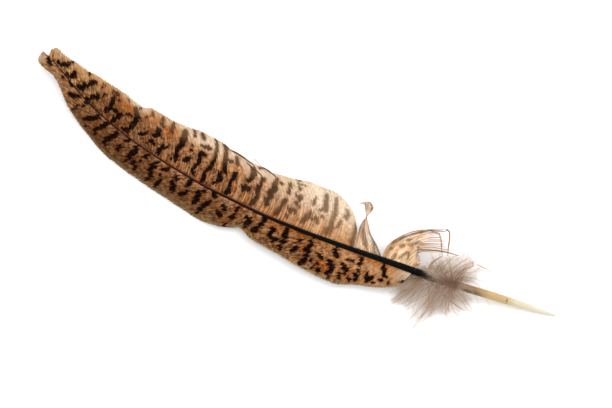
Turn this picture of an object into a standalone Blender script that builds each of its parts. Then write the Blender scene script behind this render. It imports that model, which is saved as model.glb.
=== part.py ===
"""A barred tail feather lying on its underside, modelled in Blender at its real size.

A station is a distance along the feather from the tip of the vanes (0) to the end of the quill. An
offset is measured sideways from the shaft's middle line, and a height from the surface that the feather
lies on. The tables below hold millimetres, as pairs of a station and a value; every mesh is in metres.
"""

import math
import random

import bmesh
import bpy
from mathutils import Vector

MM = 0.001
NAME = "hen_feather"

# Overall sizes
LENGTH = 250.0
GAP = 0.35
VANE_THICKNESS = 0.7

# The shaft: its sideways bow, the height of its middle line and its radius
SHAFT_START = 7.0
SHAFT_BOW = ((0, 8.0), (7, 5.3), (15, 2.0), (30, -4.2), (45, -8.7), (60, -11.8), (80, -14.4), (100, -15.8),
             (120, -15.8), (140, -14.6), (160, -12.1), (180, -8.9), (200, -5.5), (225, -0.1), (250, 4.9))
SHAFT_HEIGHT = ((0, 5.2), (30, 5.0), (60, 6.5), (100, 8.5), (140, 9.5), (170, 8.4), (200, 5.4),
                (225, 2.7), (240, 1.35), (250, 0.45))
SHAFT_RADIUS = ((7, 0.3), (50, 0.35), (90, 0.5), (120, 0.7), (155, 1.0), (175, 1.25), (190, 1.5),
                (213, 1.65), (222, 1.7), (233, 1.55), (243, 1.05), (250, 0.35))
SHAFT_POINTS = 44
SHAFT_SIDES = 12
SHAFT_POINT_CROWDING = 0.15

# The broad vane: its edge, that edge's height, how far each barb sweeps to the tip, and where it bends
WIDE_EDGE = ((1.8, 2.2), (3, 5.2), (6, 5.6), (14, 7.4), (28, 12.6), (42, 15.2), (49, 16.0), (56, 18.4),
             (70, 20.4), (86, 22.6), (100, 22.3), (112, 21.5), (124, 22.9), (136, 24.6), (146, 24.4),
             (152, 22.2), (158, 16.9), (161.5, 11.5))
WIDE_EDGE_HEIGHT = ((0, 5.5), (20, 4.4), (40, 2.6), (60, 1.2), (90, 0.45), (130, 0.45), (148, 1.8),
                    (162, 5.0))
WIDE_SWEEP = ((8, 6.2), (20, 12), (40, 17), (60, 18), (80, 18), (100, 17), (120, 15), (140, 12),
              (152, 7), (163, 1.8))
WIDE_BEND = ((8, 0.6), (40, 0.45), (70, 0.3), (100, 0.1), (130, -0.1), (163, 0.0))
WIDE_ROOTS = (8.0, 163.3)
WIDE_LOCKS = 36

# The narrow vane, in the same way
NARROW_EDGE = ((0.4, 0.6), (1.5, 4.0), (5, 5.3), (12, 4.0), (24, 7.0), (37, 9.3), (54, 11.3), (70, 11.4),
               (84, 11.4), (100, 12.0), (108, 11.2), (115.6, 7.6), (122, 9.8), (135, 11.7), (150, 13.8),
               (160, 14.7), (168, 12.4), (177, 10.8), (187, 6.8), (192, 2.6))
NARROW_EDGE_HEIGHT = ((0, 5.0), (15, 4.0), (30, 1.8), (45, 0.35), (95, 0.35), (115, 2.8), (140, 3.2),
                      (165, 2.6), (180, 4.0), (192, 5.2))
NARROW_SWEEP = ((8, 7.6), (20, 13), (40, 18), (70, 21), (110, 21), (126, 17), (140, 20), (170, 22),
                (182, 14), (190, 3))
NARROW_BEND = ((8, 0.6), (100, 0.5), (190, 0.5))
NARROW_ROOTS = (8.0, 189.5)
NARROW_LOCKS = 36

# Small shapes that both vanes share
BEND_REACH = 0.62
ARCH_POWER = 1.7
LOCK_NOTCH = 0.7
VANE_ROWS = 6

# The stray lock behind the broad vane's notch: pairs of edge points from the shaft to its curled end,
# each one a station, an offset and a height
CURLED_ROWS = (((164.4, 1.7, 8.5), (175.4, 1.9, 7.6)), ((163.9, 5.2, 8.4), (171.8, 5.9, 7.7)),
               ((163.2, 10.7, 8.1), (167.7, 9.9, 7.8)), ((163.6, 13.8, 8.5), (165.6, 13.7, 8.2)),
               ((164.4, 15.6, 9.6), (164.7, 15.8, 8.4)), ((163.3, 17.4, 10.2), (165.5, 18.0, 9.0)),
               ((162.2, 19.2, 11.0), (165.9, 19.8, 10.4)), ((161.1, 19.2, 12.2), (163.5, 21.2, 12.0)),
               ((158.7, 18.8, 12.0), (159.3, 19.1, 12.2)))
CURLED_COLUMNS = 4
CURLED_THICKNESS = 0.6

# The last lock of the broad vane: for each barb its root station, and its tip's station, offset and height
BASE_BARBS = ((176.4, 198.6, 21.9, 5.2), (177.8, 198.2, 20.0, 5.2), (179.4, 196.8, 17.6, 5.2),
              (180.8, 196.4, 15.6, 5.2), (182.2, 196.2, 13.4, 5.2), (183.6, 193.6, 11.8, 5.4),
              (185.0, 191.8, 10.4, 5.4), (186.4, 190.8, 8.4, 5.4), (187.8, 190.6, 6.2, 5.4),
              (189.2, 190.6, 4.2, 5.6))
BASE_BEND = 0.1
BASE_BEND_REACH = 0.86
BASE_COLUMNS = 36
BASE_SPLIT_DEPTH = 0.22
BASE_LOCK_RAGGEDNESS = 0.06
COLUMNS_PER_SPLIT = 4

# The down: a low cushion under the shaft with locks spread round it
DOWN_CENTRE = (198.5, -4.5)
DOWN_HALF = (10.0, 8.5, 4.6)
DOWN_LOCKS = 48
DOWN_LOCK_RADIUS = 0.85
DOWN_LOCK_STEPS = 4
DOWN_LOCK_TAPER = 0.8
DOWN_LOCK_FLATNESS = 0.75
DOWN_LOCK_TURN = 0.35
DOWN_ROOT_HEIGHT = 2.2
DOWN_TIP_HEIGHTS = (0.7, 2.4)
DOWN_ROOTS = (0.35, 0.7)
DOWN_SHORTEST = 0.75
DOWN_SPACING_JITTER = 0.3
DOWN_LENGTHS = ((-180, 8), (-135, 15), (-90, 18), (-50, 15), (-20, 15), (15, 16), (50, 15), (90, 15),
                (125, 9), (180, 8))
DOWN_SEED = 11
GROUND_CUT_SIZE = 100.0

COLOURS = {
    "tan": (0.56, 0.34, 0.18),
    "brown": (0.40, 0.23, 0.11),
    "pale": (0.68, 0.48, 0.31),
    "quill": (0.30, 0.22, 0.14),
    "down": (0.44, 0.38, 0.33),
}


def rise_between(near, far):
    """Slope of the straight line between two points of a table."""
    return (far[1] - near[1]) / (far[0] - near[0])


def shared_slope(before, after):
    """Slope where two stretches of a table meet: level at a peak, so that the curve never overshoots."""
    return 2 * before * after / (before + after) if before * after > 0 else 0.0


def read(table, at):
    """Value of a table at a station, on a smooth curve through the table's points."""
    last = len(table) - 2
    i = 0
    while i < last and table[i + 1][0] <= at:
        i += 1
    (x0, y0), (x1, y1) = table[i], table[i + 1]
    t = min(max((at - x0) / (x1 - x0), 0.0), 1.0)
    rise = (y1 - y0) / (x1 - x0)
    before = rise_between(table[i - 1], table[i]) if i > 0 else rise
    after = rise_between(table[i + 1], table[i + 2]) if i < last else rise
    start_slope = shared_slope(before, rise) * (x1 - x0)
    end_slope = shared_slope(rise, after) * (x1 - x0)
    low = (1 + 2 * t) * (1 - t) ** 2 * y0 + t * (1 - t) ** 2 * start_slope
    high = t * t * (3 - 2 * t) * y1 + t * t * (t - 1) * end_slope
    return low + high


def plan(station, offset):
    """Place on the surface of a point at a station and an offset, in millimetres."""
    step = 0.5
    slope = (read(SHAFT_BOW, station + step) - read(SHAFT_BOW, station - step)) / (2 * step)
    along = math.hypot(1.0, slope)
    return station - slope / along * offset, read(SHAFT_BOW, station) + offset / along


def point(station, offset, height):
    """The same point at a height, in metres."""
    x, y = plan(station, offset)
    return Vector((x, y, height)) * MM


def add_object(name, mesh, collection, colour):
    """A named object with its own material."""
    body = bpy.data.objects.new(name, mesh)
    collection.objects.link(body)
    material = bpy.data.materials.new(name)
    material.use_nodes = True
    shader = material.node_tree.nodes["Principled BSDF"]
    shader.inputs["Base Color"].default_value = (*COLOURS[colour], 1.0)
    shader.inputs["Roughness"].default_value = 0.6
    mesh.materials.append(material)
    return body


def add_sheet(name, columns, rows, place, thickness, collection, colour):
    """A thin closed sheet: a grid with its corners placed by a function of two shares, then thickened."""
    mesh = bpy.data.meshes.new(name)
    shape = bmesh.new()
    bmesh.ops.create_grid(shape, x_segments=columns, y_segments=rows, size=0.5)
    for corner in shape.verts:
        corner.co = place(corner.co.x + 0.5, corner.co.y + 0.5)
    shape.to_mesh(mesh)
    shape.free()
    mesh.shade_smooth()
    body = add_object(name, mesh, collection, colour)
    solid = body.modifiers.new("thickness", "SOLIDIFY")
    solid.thickness = thickness * MM
    solid.offset = 0.0
    return body


def barb(root, tip_station, tip_offset, bend, bend_reach, share):
    """Station and offset at a share of a barb's length, from its root beside the shaft to its tip."""
    start = (root, read(SHAFT_RADIUS, root) + GAP)
    middle = (root + (tip_station - root) * bend, start[1] + (tip_offset - start[1]) * bend_reach)
    weights = ((1 - share) ** 2, 2 * share * (1 - share), share ** 2)
    corners = (start, middle, (tip_station, tip_offset))
    return tuple(sum(w * corner[k] for w, corner in zip(weights, corners)) for k in (0, 1))


def arch_height(station, share_out, edge_height):
    """Height of a vane at a share of its width: level beside the shaft, then falling to the edge."""
    crown = read(SHAFT_HEIGHT, station)
    return crown + (edge_height - crown) * max(share_out, 0.0) ** ARCH_POWER


def add_vane(name, side, edge, edge_height, sweep, bend, roots, locks, collection, colour):
    """One vane as a sheet whose columns follow its barbs, with a small notch between its locks."""
    columns = locks * 2

    def place(u, v):
        column = round(u * columns)
        root = roots[0] + (roots[1] - roots[0]) * u
        tip = root - read(sweep, root)
        reach = read(edge, tip) - (0.0 if column % 2 else LOCK_NOTCH)
        station, offset = barb(root, tip, reach, read(bend, root), BEND_REACH, v)
        inner = read(SHAFT_RADIUS, root) + GAP
        share_out = (offset - inner) / max(read(edge, station) - inner, 1.0)
        height = arch_height(station, share_out, read(edge_height, station))
        return point(station, side * offset, height)

    return add_sheet(name, columns, VANE_ROWS, place, VANE_THICKNESS, collection, colour)


def add_curled_lock(collection):
    """The stray lock: a ribbon lofted between its two edges, with a narrow waist and a curled end."""
    rows = len(CURLED_ROWS) - 1

    def place(u, v):
        left, right = (point(*corner) for corner in CURLED_ROWS[round(v * rows)])
        return left.lerp(right, u)

    return add_sheet("curled_lock", CURLED_COLUMNS, rows, place, CURLED_THICKNESS, collection, "pale")


def add_base_lock(collection):
    """The last lock: barbs fanned backwards, split apart along the outer part of their length."""
    spans = len(BASE_BARBS) - 1

    def place(u, v):
        column = round(u * BASE_COLUMNS)
        where = min(u * spans, spans - 1e-6)
        near, far = BASE_BARBS[int(where)], BASE_BARBS[int(where) + 1]
        part = where - int(where)
        root, tip_station, tip_offset, tip_height = (a + (b - a) * part for a, b in zip(near, far))
        step = column % COLUMNS_PER_SPLIT
        cut_back = BASE_SPLIT_DEPTH if step == 0 else BASE_LOCK_RAGGEDNESS * (step % 2)
        share = v * (1.0 - cut_back)
        station, offset = barb(root, tip_station, tip_offset, BASE_BEND, BASE_BEND_REACH, share)
        crown = read(SHAFT_HEIGHT, root)
        return point(station, offset, crown + (tip_height - crown) * share)

    return add_sheet("base_lock", BASE_COLUMNS, VANE_ROWS, place, CURLED_THICKNESS, collection, "pale")


def shaft_mesh(extra):
    """Mesh of the shaft as a tapering tube, fattened by an extra radius where it serves as a cutter."""
    curve = bpy.data.curves.new("shaft_line", "CURVE")
    curve.dimensions = "3D"
    curve.bevel_depth = 1.0 * MM
    curve.bevel_resolution = SHAFT_SIDES // 4 - 1
    curve.use_fill_caps = True
    line = curve.splines.new("POLY")
    line.points.add(SHAFT_POINTS - 1)
    for i, dot in enumerate(line.points):
        share = i / (SHAFT_POINTS - 1)
        share += SHAFT_POINT_CROWDING * (share - share ** 3)
        station = SHAFT_START + (LENGTH - SHAFT_START) * share
        dot.co = (*point(station, 0.0, read(SHAFT_HEIGHT, station)), 1.0)
        dot.radius = read(SHAFT_RADIUS, station) + extra
    guide = bpy.data.objects.new("shaft_line", curve)
    bpy.context.scene.collection.objects.link(guide)
    bpy.context.view_layer.update()
    mesh = bpy.data.meshes.new_from_object(guide.evaluated_get(bpy.context.evaluated_depsgraph_get()))
    bpy.data.objects.remove(guide)
    bpy.data.curves.remove(curve)
    shape = bmesh.new()
    shape.from_mesh(mesh)
    bmesh.ops.remove_doubles(shape, verts=shape.verts, dist=0.01 * MM)
    shape.to_mesh(mesh)
    shape.free()
    return mesh


def add_shaft(collection):
    """The quill and the rachis in one tapering piece."""
    mesh = shaft_mesh(0.0)
    mesh.name = "shaft"
    mesh.shade_smooth()
    return add_object("shaft", mesh, collection, "quill")


def add_cutter(name, shape, collection):
    """A hidden object that shapes another, from a shape that is freed afterwards."""
    mesh = bpy.data.meshes.new(name)
    shape.to_mesh(mesh)
    shape.free()
    mesh.shade_smooth()
    cutter = bpy.data.objects.new(name, mesh)
    cutter.hide_render = True
    cutter.display_type = "WIRE"
    collection.objects.link(cutter)
    return cutter


def down_lock(start, direction, length, tip_height, turn):
    """One lock of down: a tapering four-sided strand that turns as it runs out."""
    shape = bmesh.new()
    rings = []
    for i in range(DOWN_LOCK_STEPS + 1):
        share = i / DOWN_LOCK_STEPS
        heading = direction + turn * share
        forward = Vector((math.cos(heading), math.sin(heading), 0.0))
        middle = start + forward * length * share
        middle.z = DOWN_ROOT_HEIGHT + (tip_height - DOWN_ROOT_HEIGHT) * share
        radius = DOWN_LOCK_RADIUS * (1.0 - DOWN_LOCK_TAPER * share)
        across = Vector((-forward.y, forward.x, 0.0)) * radius
        upward = Vector((0.0, 0.0, radius * DOWN_LOCK_FLATNESS))
        sides = (across, upward, -across, -upward)
        rings.append([shape.verts.new((middle + side) * MM) for side in sides])
    for near, far in zip(rings, rings[1:]):
        for k in range(4):
            shape.faces.new((near[k], near[(k + 1) % 4], far[(k + 1) % 4], far[k]))
    shape.faces.new(rings[0][::-1])
    shape.faces.new(rings[-1])
    bmesh.ops.recalc_face_normals(shape, faces=shape.faces)
    return shape


def add_down_locks(centre, lock_shapes):
    """The shapes of all the locks of down, spread round the cushion."""
    chance = random.Random(DOWN_SEED)
    for i in range(DOWN_LOCKS):
        place = i + chance.uniform(-DOWN_SPACING_JITTER, DOWN_SPACING_JITTER)
        degrees = 360 * place / DOWN_LOCKS - 180
        heading = math.radians(degrees)
        root = chance.uniform(*DOWN_ROOTS)
        outward = Vector((math.cos(heading) * DOWN_HALF[0], math.sin(heading) * DOWN_HALF[1], 0.0))
        length = read(DOWN_LENGTHS, degrees) * chance.uniform(DOWN_SHORTEST, 1.0)
        tip_height = chance.uniform(*DOWN_TIP_HEIGHTS)
        turn = chance.uniform(-DOWN_LOCK_TURN, DOWN_LOCK_TURN)
        lock = down_lock(centre + outward * root, heading, length, tip_height, turn)
        add_cutter(f"down_lock_{i + 1:02d}", lock, lock_shapes)


def add_down(collection, cutters, lock_shapes):
    """The down tuft: a cushion joined to its locks, flat below and grooved for the shaft."""
    centre = Vector((*plan(*DOWN_CENTRE), 0.0))
    mesh = bpy.data.meshes.new("down_tuft")
    shape = bmesh.new()
    bmesh.ops.create_uvsphere(shape, u_segments=20, v_segments=10, radius=1.0)
    for corner in shape.verts:
        corner.co = (centre + corner.co * Vector(DOWN_HALF)) * MM
    shape.to_mesh(mesh)
    shape.free()
    mesh.shade_smooth()
    body = add_object("down_tuft", mesh, collection, "down")
    add_down_locks(centre, lock_shapes)
    join = body.modifiers.new("locks", "BOOLEAN")
    join.operation = "UNION"
    join.operand_type = "COLLECTION"
    join.collection = lock_shapes
    ground = bmesh.new()
    bmesh.ops.create_cube(ground, size=GROUND_CUT_SIZE * MM)
    below = Vector((centre.x, centre.y, -GROUND_CUT_SIZE / 2)) * MM
    bmesh.ops.translate(ground, verts=ground.verts, vec=below)
    groove = bmesh.new()
    groove.from_mesh(shaft_mesh(GAP))
    for label, cutter in (("flat_below", ground), ("shaft_groove", groove)):
        cut = body.modifiers.new(label, "BOOLEAN")
        cut.operation = "DIFFERENCE"
        cut.object = add_cutter(label, cutter, cutters)


def shift_to_origin(bodies):
    """The move that puts the origin at the middle of the feather's box, on the surface it lies on."""
    bpy.context.view_layer.update()
    graph = bpy.context.evaluated_depsgraph_get()
    corners = []
    for body in bodies:
        corners += [corner.co.copy() for corner in body.evaluated_get(graph).data.vertices]
    low = Vector([min(corner[k] for corner in corners) for k in range(3)])
    high = Vector([max(corner[k] for corner in corners) for k in range(3)])
    return Vector((-(low.x + high.x) / 2, -(low.y + high.y) / 2, -low.z))


def main():
    for leftover in list(bpy.data.objects):
        bpy.data.objects.remove(leftover)
    feather = bpy.data.collections.new(NAME)
    cutters = bpy.data.collections.new("cutters")
    lock_shapes = bpy.data.collections.new("down_lock_shapes")
    bpy.context.scene.collection.children.link(feather)
    bpy.context.scene.collection.children.link(cutters)
    cutters.children.link(lock_shapes)
    add_shaft(feather)
    add_vane("wide_vane", 1, WIDE_EDGE, WIDE_EDGE_HEIGHT, WIDE_SWEEP, WIDE_BEND, WIDE_ROOTS, WIDE_LOCKS,
             feather, "tan")
    add_vane("narrow_vane", -1, NARROW_EDGE, NARROW_EDGE_HEIGHT, NARROW_SWEEP, NARROW_BEND, NARROW_ROOTS,
             NARROW_LOCKS, feather, "brown")
    add_curled_lock(feather)
    add_base_lock(feather)
    add_down(feather, cutters, lock_shapes)
    shift = shift_to_origin(feather.objects)
    for body in list(feather.objects) + list(cutters.all_objects):
        for corner in body.data.vertices:
            corner.co += shift


main()
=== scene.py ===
"""A barred tail feather lying on a pale surface, built barb by barb.

A station is a distance along the feather from the tip of the vanes (0) to the end of the quill. An offset
is measured sideways from the shaft's middle line, and a height from the surface that the feather lies on.
The tables hold millimetres, as pairs of a station and a value; every mesh is in metres.
"""

import math

import bpy
import numpy as np
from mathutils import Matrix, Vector


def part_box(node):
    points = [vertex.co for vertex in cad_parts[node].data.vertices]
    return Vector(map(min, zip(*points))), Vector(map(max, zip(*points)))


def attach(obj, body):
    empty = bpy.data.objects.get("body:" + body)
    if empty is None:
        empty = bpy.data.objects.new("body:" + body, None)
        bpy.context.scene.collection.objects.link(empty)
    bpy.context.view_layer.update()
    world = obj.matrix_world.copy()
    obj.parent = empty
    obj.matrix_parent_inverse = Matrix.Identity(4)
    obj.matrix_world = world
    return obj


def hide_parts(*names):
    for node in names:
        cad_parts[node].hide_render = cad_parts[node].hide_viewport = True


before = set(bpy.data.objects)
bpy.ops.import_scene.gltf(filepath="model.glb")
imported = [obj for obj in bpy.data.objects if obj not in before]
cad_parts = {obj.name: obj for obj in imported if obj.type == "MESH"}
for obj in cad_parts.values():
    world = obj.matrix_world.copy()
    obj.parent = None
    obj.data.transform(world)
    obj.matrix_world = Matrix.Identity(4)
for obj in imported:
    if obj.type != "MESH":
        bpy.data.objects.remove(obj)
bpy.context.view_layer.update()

bl_info = {
    "name": "Barred tail feather",
    "version": (1, 0, 0),
    "blender": (4, 5, 0),
    "location": "3D View > Sidebar > Feather",
    "description": "Builds a loose barred tail feather: quill, two vanes, loose locks and down",
    "category": "Object",
}

MM = 0.001
SEED = 7

# The shaft: its sideways bow, the height of its middle line and its radius
LENGTH = 250.0
SHAFT_START = 7.0
SHAFT_BOW = ((0, 8.0), (7, 5.3), (15, 2.0), (30, -4.2), (45, -8.7), (60, -11.8), (80, -14.4), (100, -15.8),
             (120, -15.8), (140, -14.6), (160, -12.1), (180, -8.9), (200, -5.5), (225, -0.1), (250, 4.9))
SHAFT_HEIGHT = ((0, 5.2), (30, 5.0), (60, 6.5), (100, 8.5), (140, 9.5), (170, 8.4), (200, 5.4),
                (225, 2.7), (240, 1.35), (250, 0.45))
SHAFT_RADIUS = ((7, 0.3), (50, 0.35), (90, 0.5), (120, 0.7), (155, 1.0), (175, 1.25), (190, 1.5),
                (213, 1.65), (222, 1.7), (233, 1.55), (243, 1.05), (250, 0.35))

# The broad vane: its edge, that edge's height, how far each barb sweeps to the tip, and where it bends
WIDE_EDGE = ((2.6, 1.8), (3.5, 5.0), (6, 5.6), (14, 7.4), (28, 12.6), (42, 15.3), (49, 15.7), (52, 17.9),
             (58, 18.9), (65, 19.4), (71, 20.7), (79, 22.5), (88, 23.1), (95, 22.6), (100, 22.3), (112, 21.5),
             (124, 22.9), (136, 24.6), (146, 24.4), (152, 22.2), (158, 16.9), (161.5, 11.5))
WIDE_EDGE_HEIGHT = ((0, 5.5), (20, 4.4), (40, 2.6), (60, 1.2), (90, 0.45), (130, 0.45), (148, 1.8),
                    (162, 5.0))
WIDE_SWEEP = ((4.5, 1.5), (6, 2.6), (8, 4.1), (20, 11.8), (40, 17), (60, 18), (80, 18), (100, 17), (120, 15),
              (140, 12), (152, 7), (163, 1.8))
WIDE_BEND = ((8, 0.6), (40, 0.45), (70, 0.3), (100, 0.1), (130, -0.1), (163, 0.0))
WIDE_ROOTS = (4.5, 163.3)

# The narrow vane, in the same way
NARROW_EDGE = ((0.9, 0.6), (1.8, 3.8), (5, 5.2), (12, 4.0), (24, 7.0), (37, 9.3), (54, 11.3), (70, 11.4),
               (84, 11.4), (100, 12.0), (108, 11.2), (115.6, 7.6), (122, 9.8), (135, 11.7), (150, 13.8),
               (160, 14.7), (168, 12.4), (177, 10.8), (187, 6.8), (192, 2.6))
NARROW_EDGE_HEIGHT = ((0, 5.0), (15, 4.0), (30, 1.8), (45, 0.35), (95, 0.35), (115, 2.8), (140, 3.2),
                      (165, 2.6), (180, 4.0), (192, 5.2))
NARROW_SWEEP = ((4.5, 3.4), (6, 4.3), (8, 5.6), (20, 13), (40, 18), (70, 21), (110, 21), (126, 17), (140, 20),
                (170, 22), (182, 14), (190, 3))
NARROW_BEND = ((8, 0.6), (100, 0.5), (190, 0.5))
NARROW_ROOTS = (4.5, 189.3)

# How unevenly the barbs of each vane end, as shares of the values under REACH_CLUMP
WIDE_RAGGED = ((4, 1.1), (60, 1.0), (110, 0.8), (163, 0.5))
NARROW_RAGGED = ((4, 1.1), (60, 0.7), (110, 0.45), (190, 0.35))

# How both vanes arch from the shaft to their edge: where the barbs bend, and how they start from the shaft,
# on its middle line before the first station of ROOTS_PART and beside it after the second
BEND_REACH = 0.62
ARCH_POWER = 1.7
CROWN_ON_SHAFT = 0.25
ROOT_BESIDE_SHAFT = 0.45
ROOTS_PART = (6.5, 9.0)
NARROWEST_VANE = 1.0
SHARE_PAST_EDGE = 1.15

# The barbs' shape: the section is walked round from its left edge, with its top faces first
BARB_SAMPLES = 34
BARB_CROWDING = 0.8
LOWEST_BARB = 0.16
BARB_SECTION = ((-1, 0), (-0.3, 0.3), (0, 1), (0.3, 0.3), (1, 0), (0, -0.7))
BARB_SECTION_TOPS = 4
BARB_TAPER = ((0, 0.7), (0.05, 1.0), (0.93, 1.0), (0.98, 0.75), (1, 0.2))
BARB_OVERLAP = 1.6
BARB_WIDEST = 0.9
BARB_THICKNESS = 0.07
BARB_FLATNESS = 0.9
BARB_TILT = 0.05

# How unevenly the barbs lie: how many barbs make a clump, then how much clumps and single barbs vary
SWAY_CLUMP, SWAY_OF_CLUMPS, SWAY_OF_BARBS = 7, 0.6, 0.12
REACH_CLUMP, REACH_OF_CLUMPS, REACH_OF_BARBS = 8, 0.25, (-0.26, 0.18)
LIFT_CLUMP, LIFT_OF_CLUMPS, LIFT_OF_BARBS = 8, 0.2, 0.05

# How far the marks slip along the barbs, in the same way
SLIP_CLUMP, SLIP_OF_CLUMPS, SLIP_OF_BARBS = 2.5, 0.7, 0.28

# The section of thin free strands
STRAND_SECTION = ((-1, 0), (0, 1), (1, 0), (0, -1))
STRAND_SECTION_TOPS = 2

# The shaft's mesh, how slim, square and grooved below its rachis is, and how it swells at its corners
QUILL_SAMPLES, QUILL_SIDES = 320, 28
RACHIS_SLIMNESS = ((7, 0.85), (60, 0.95), (110, 0.95), (130, 1))
RACHIS_SQUARENESS = ((30, 0.15), (120, 0.35), (190, 0.3), (212, 0.0))
RACHIS_GROOVE = ((15, 0), (60, 0.3), (185, 0.3), (205, 0))
CORNER_SWELL = 0.22
GROOVE_WIDTH = 0.22

# Texture maps of strands: a row for each, its top faces in the left half, and small discs for its ends
STRAND_MAP_START, STRAND_MAP_LENGTH, STRAND_MAP_GAP = 0.012, 0.468, 0.02
STRAND_MAP_ENDS = ((0.006, -1), (0.494, 1))
STRAND_MAP_END_RADII = (0.004, 0.45)

# Texture maps of hairs: in each hair's cell, its waist and tip across, its rows up, and its root's face
HAIR_MAP_WAIST, HAIR_MAP_TIP, HAIR_MAP_ROW = 0.5, 0.9, 0.3
HAIR_MAP_ROOT = ((0.92, 0.96, 0.92), (0.1, 0.2, 0.3))
HAIR_MAP_FILL, HAIR_MAP_MARGIN = 0.9, 0.03

# The texture map of the quill: its lengths one above the other, and discs for its ends
TUBE_LENGTHS = 4
TUBE_MAP_START, TUBE_MAP_LENGTH, TUBE_MAP_GAP = 0.02, 0.95, 0.04
TUBE_MAP_END, TUBE_MAP_END_RADIUS = 0.985, 0.008
TUBE_MAP_ENDS = ((0.3, -1), (0.7, 1))

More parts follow.
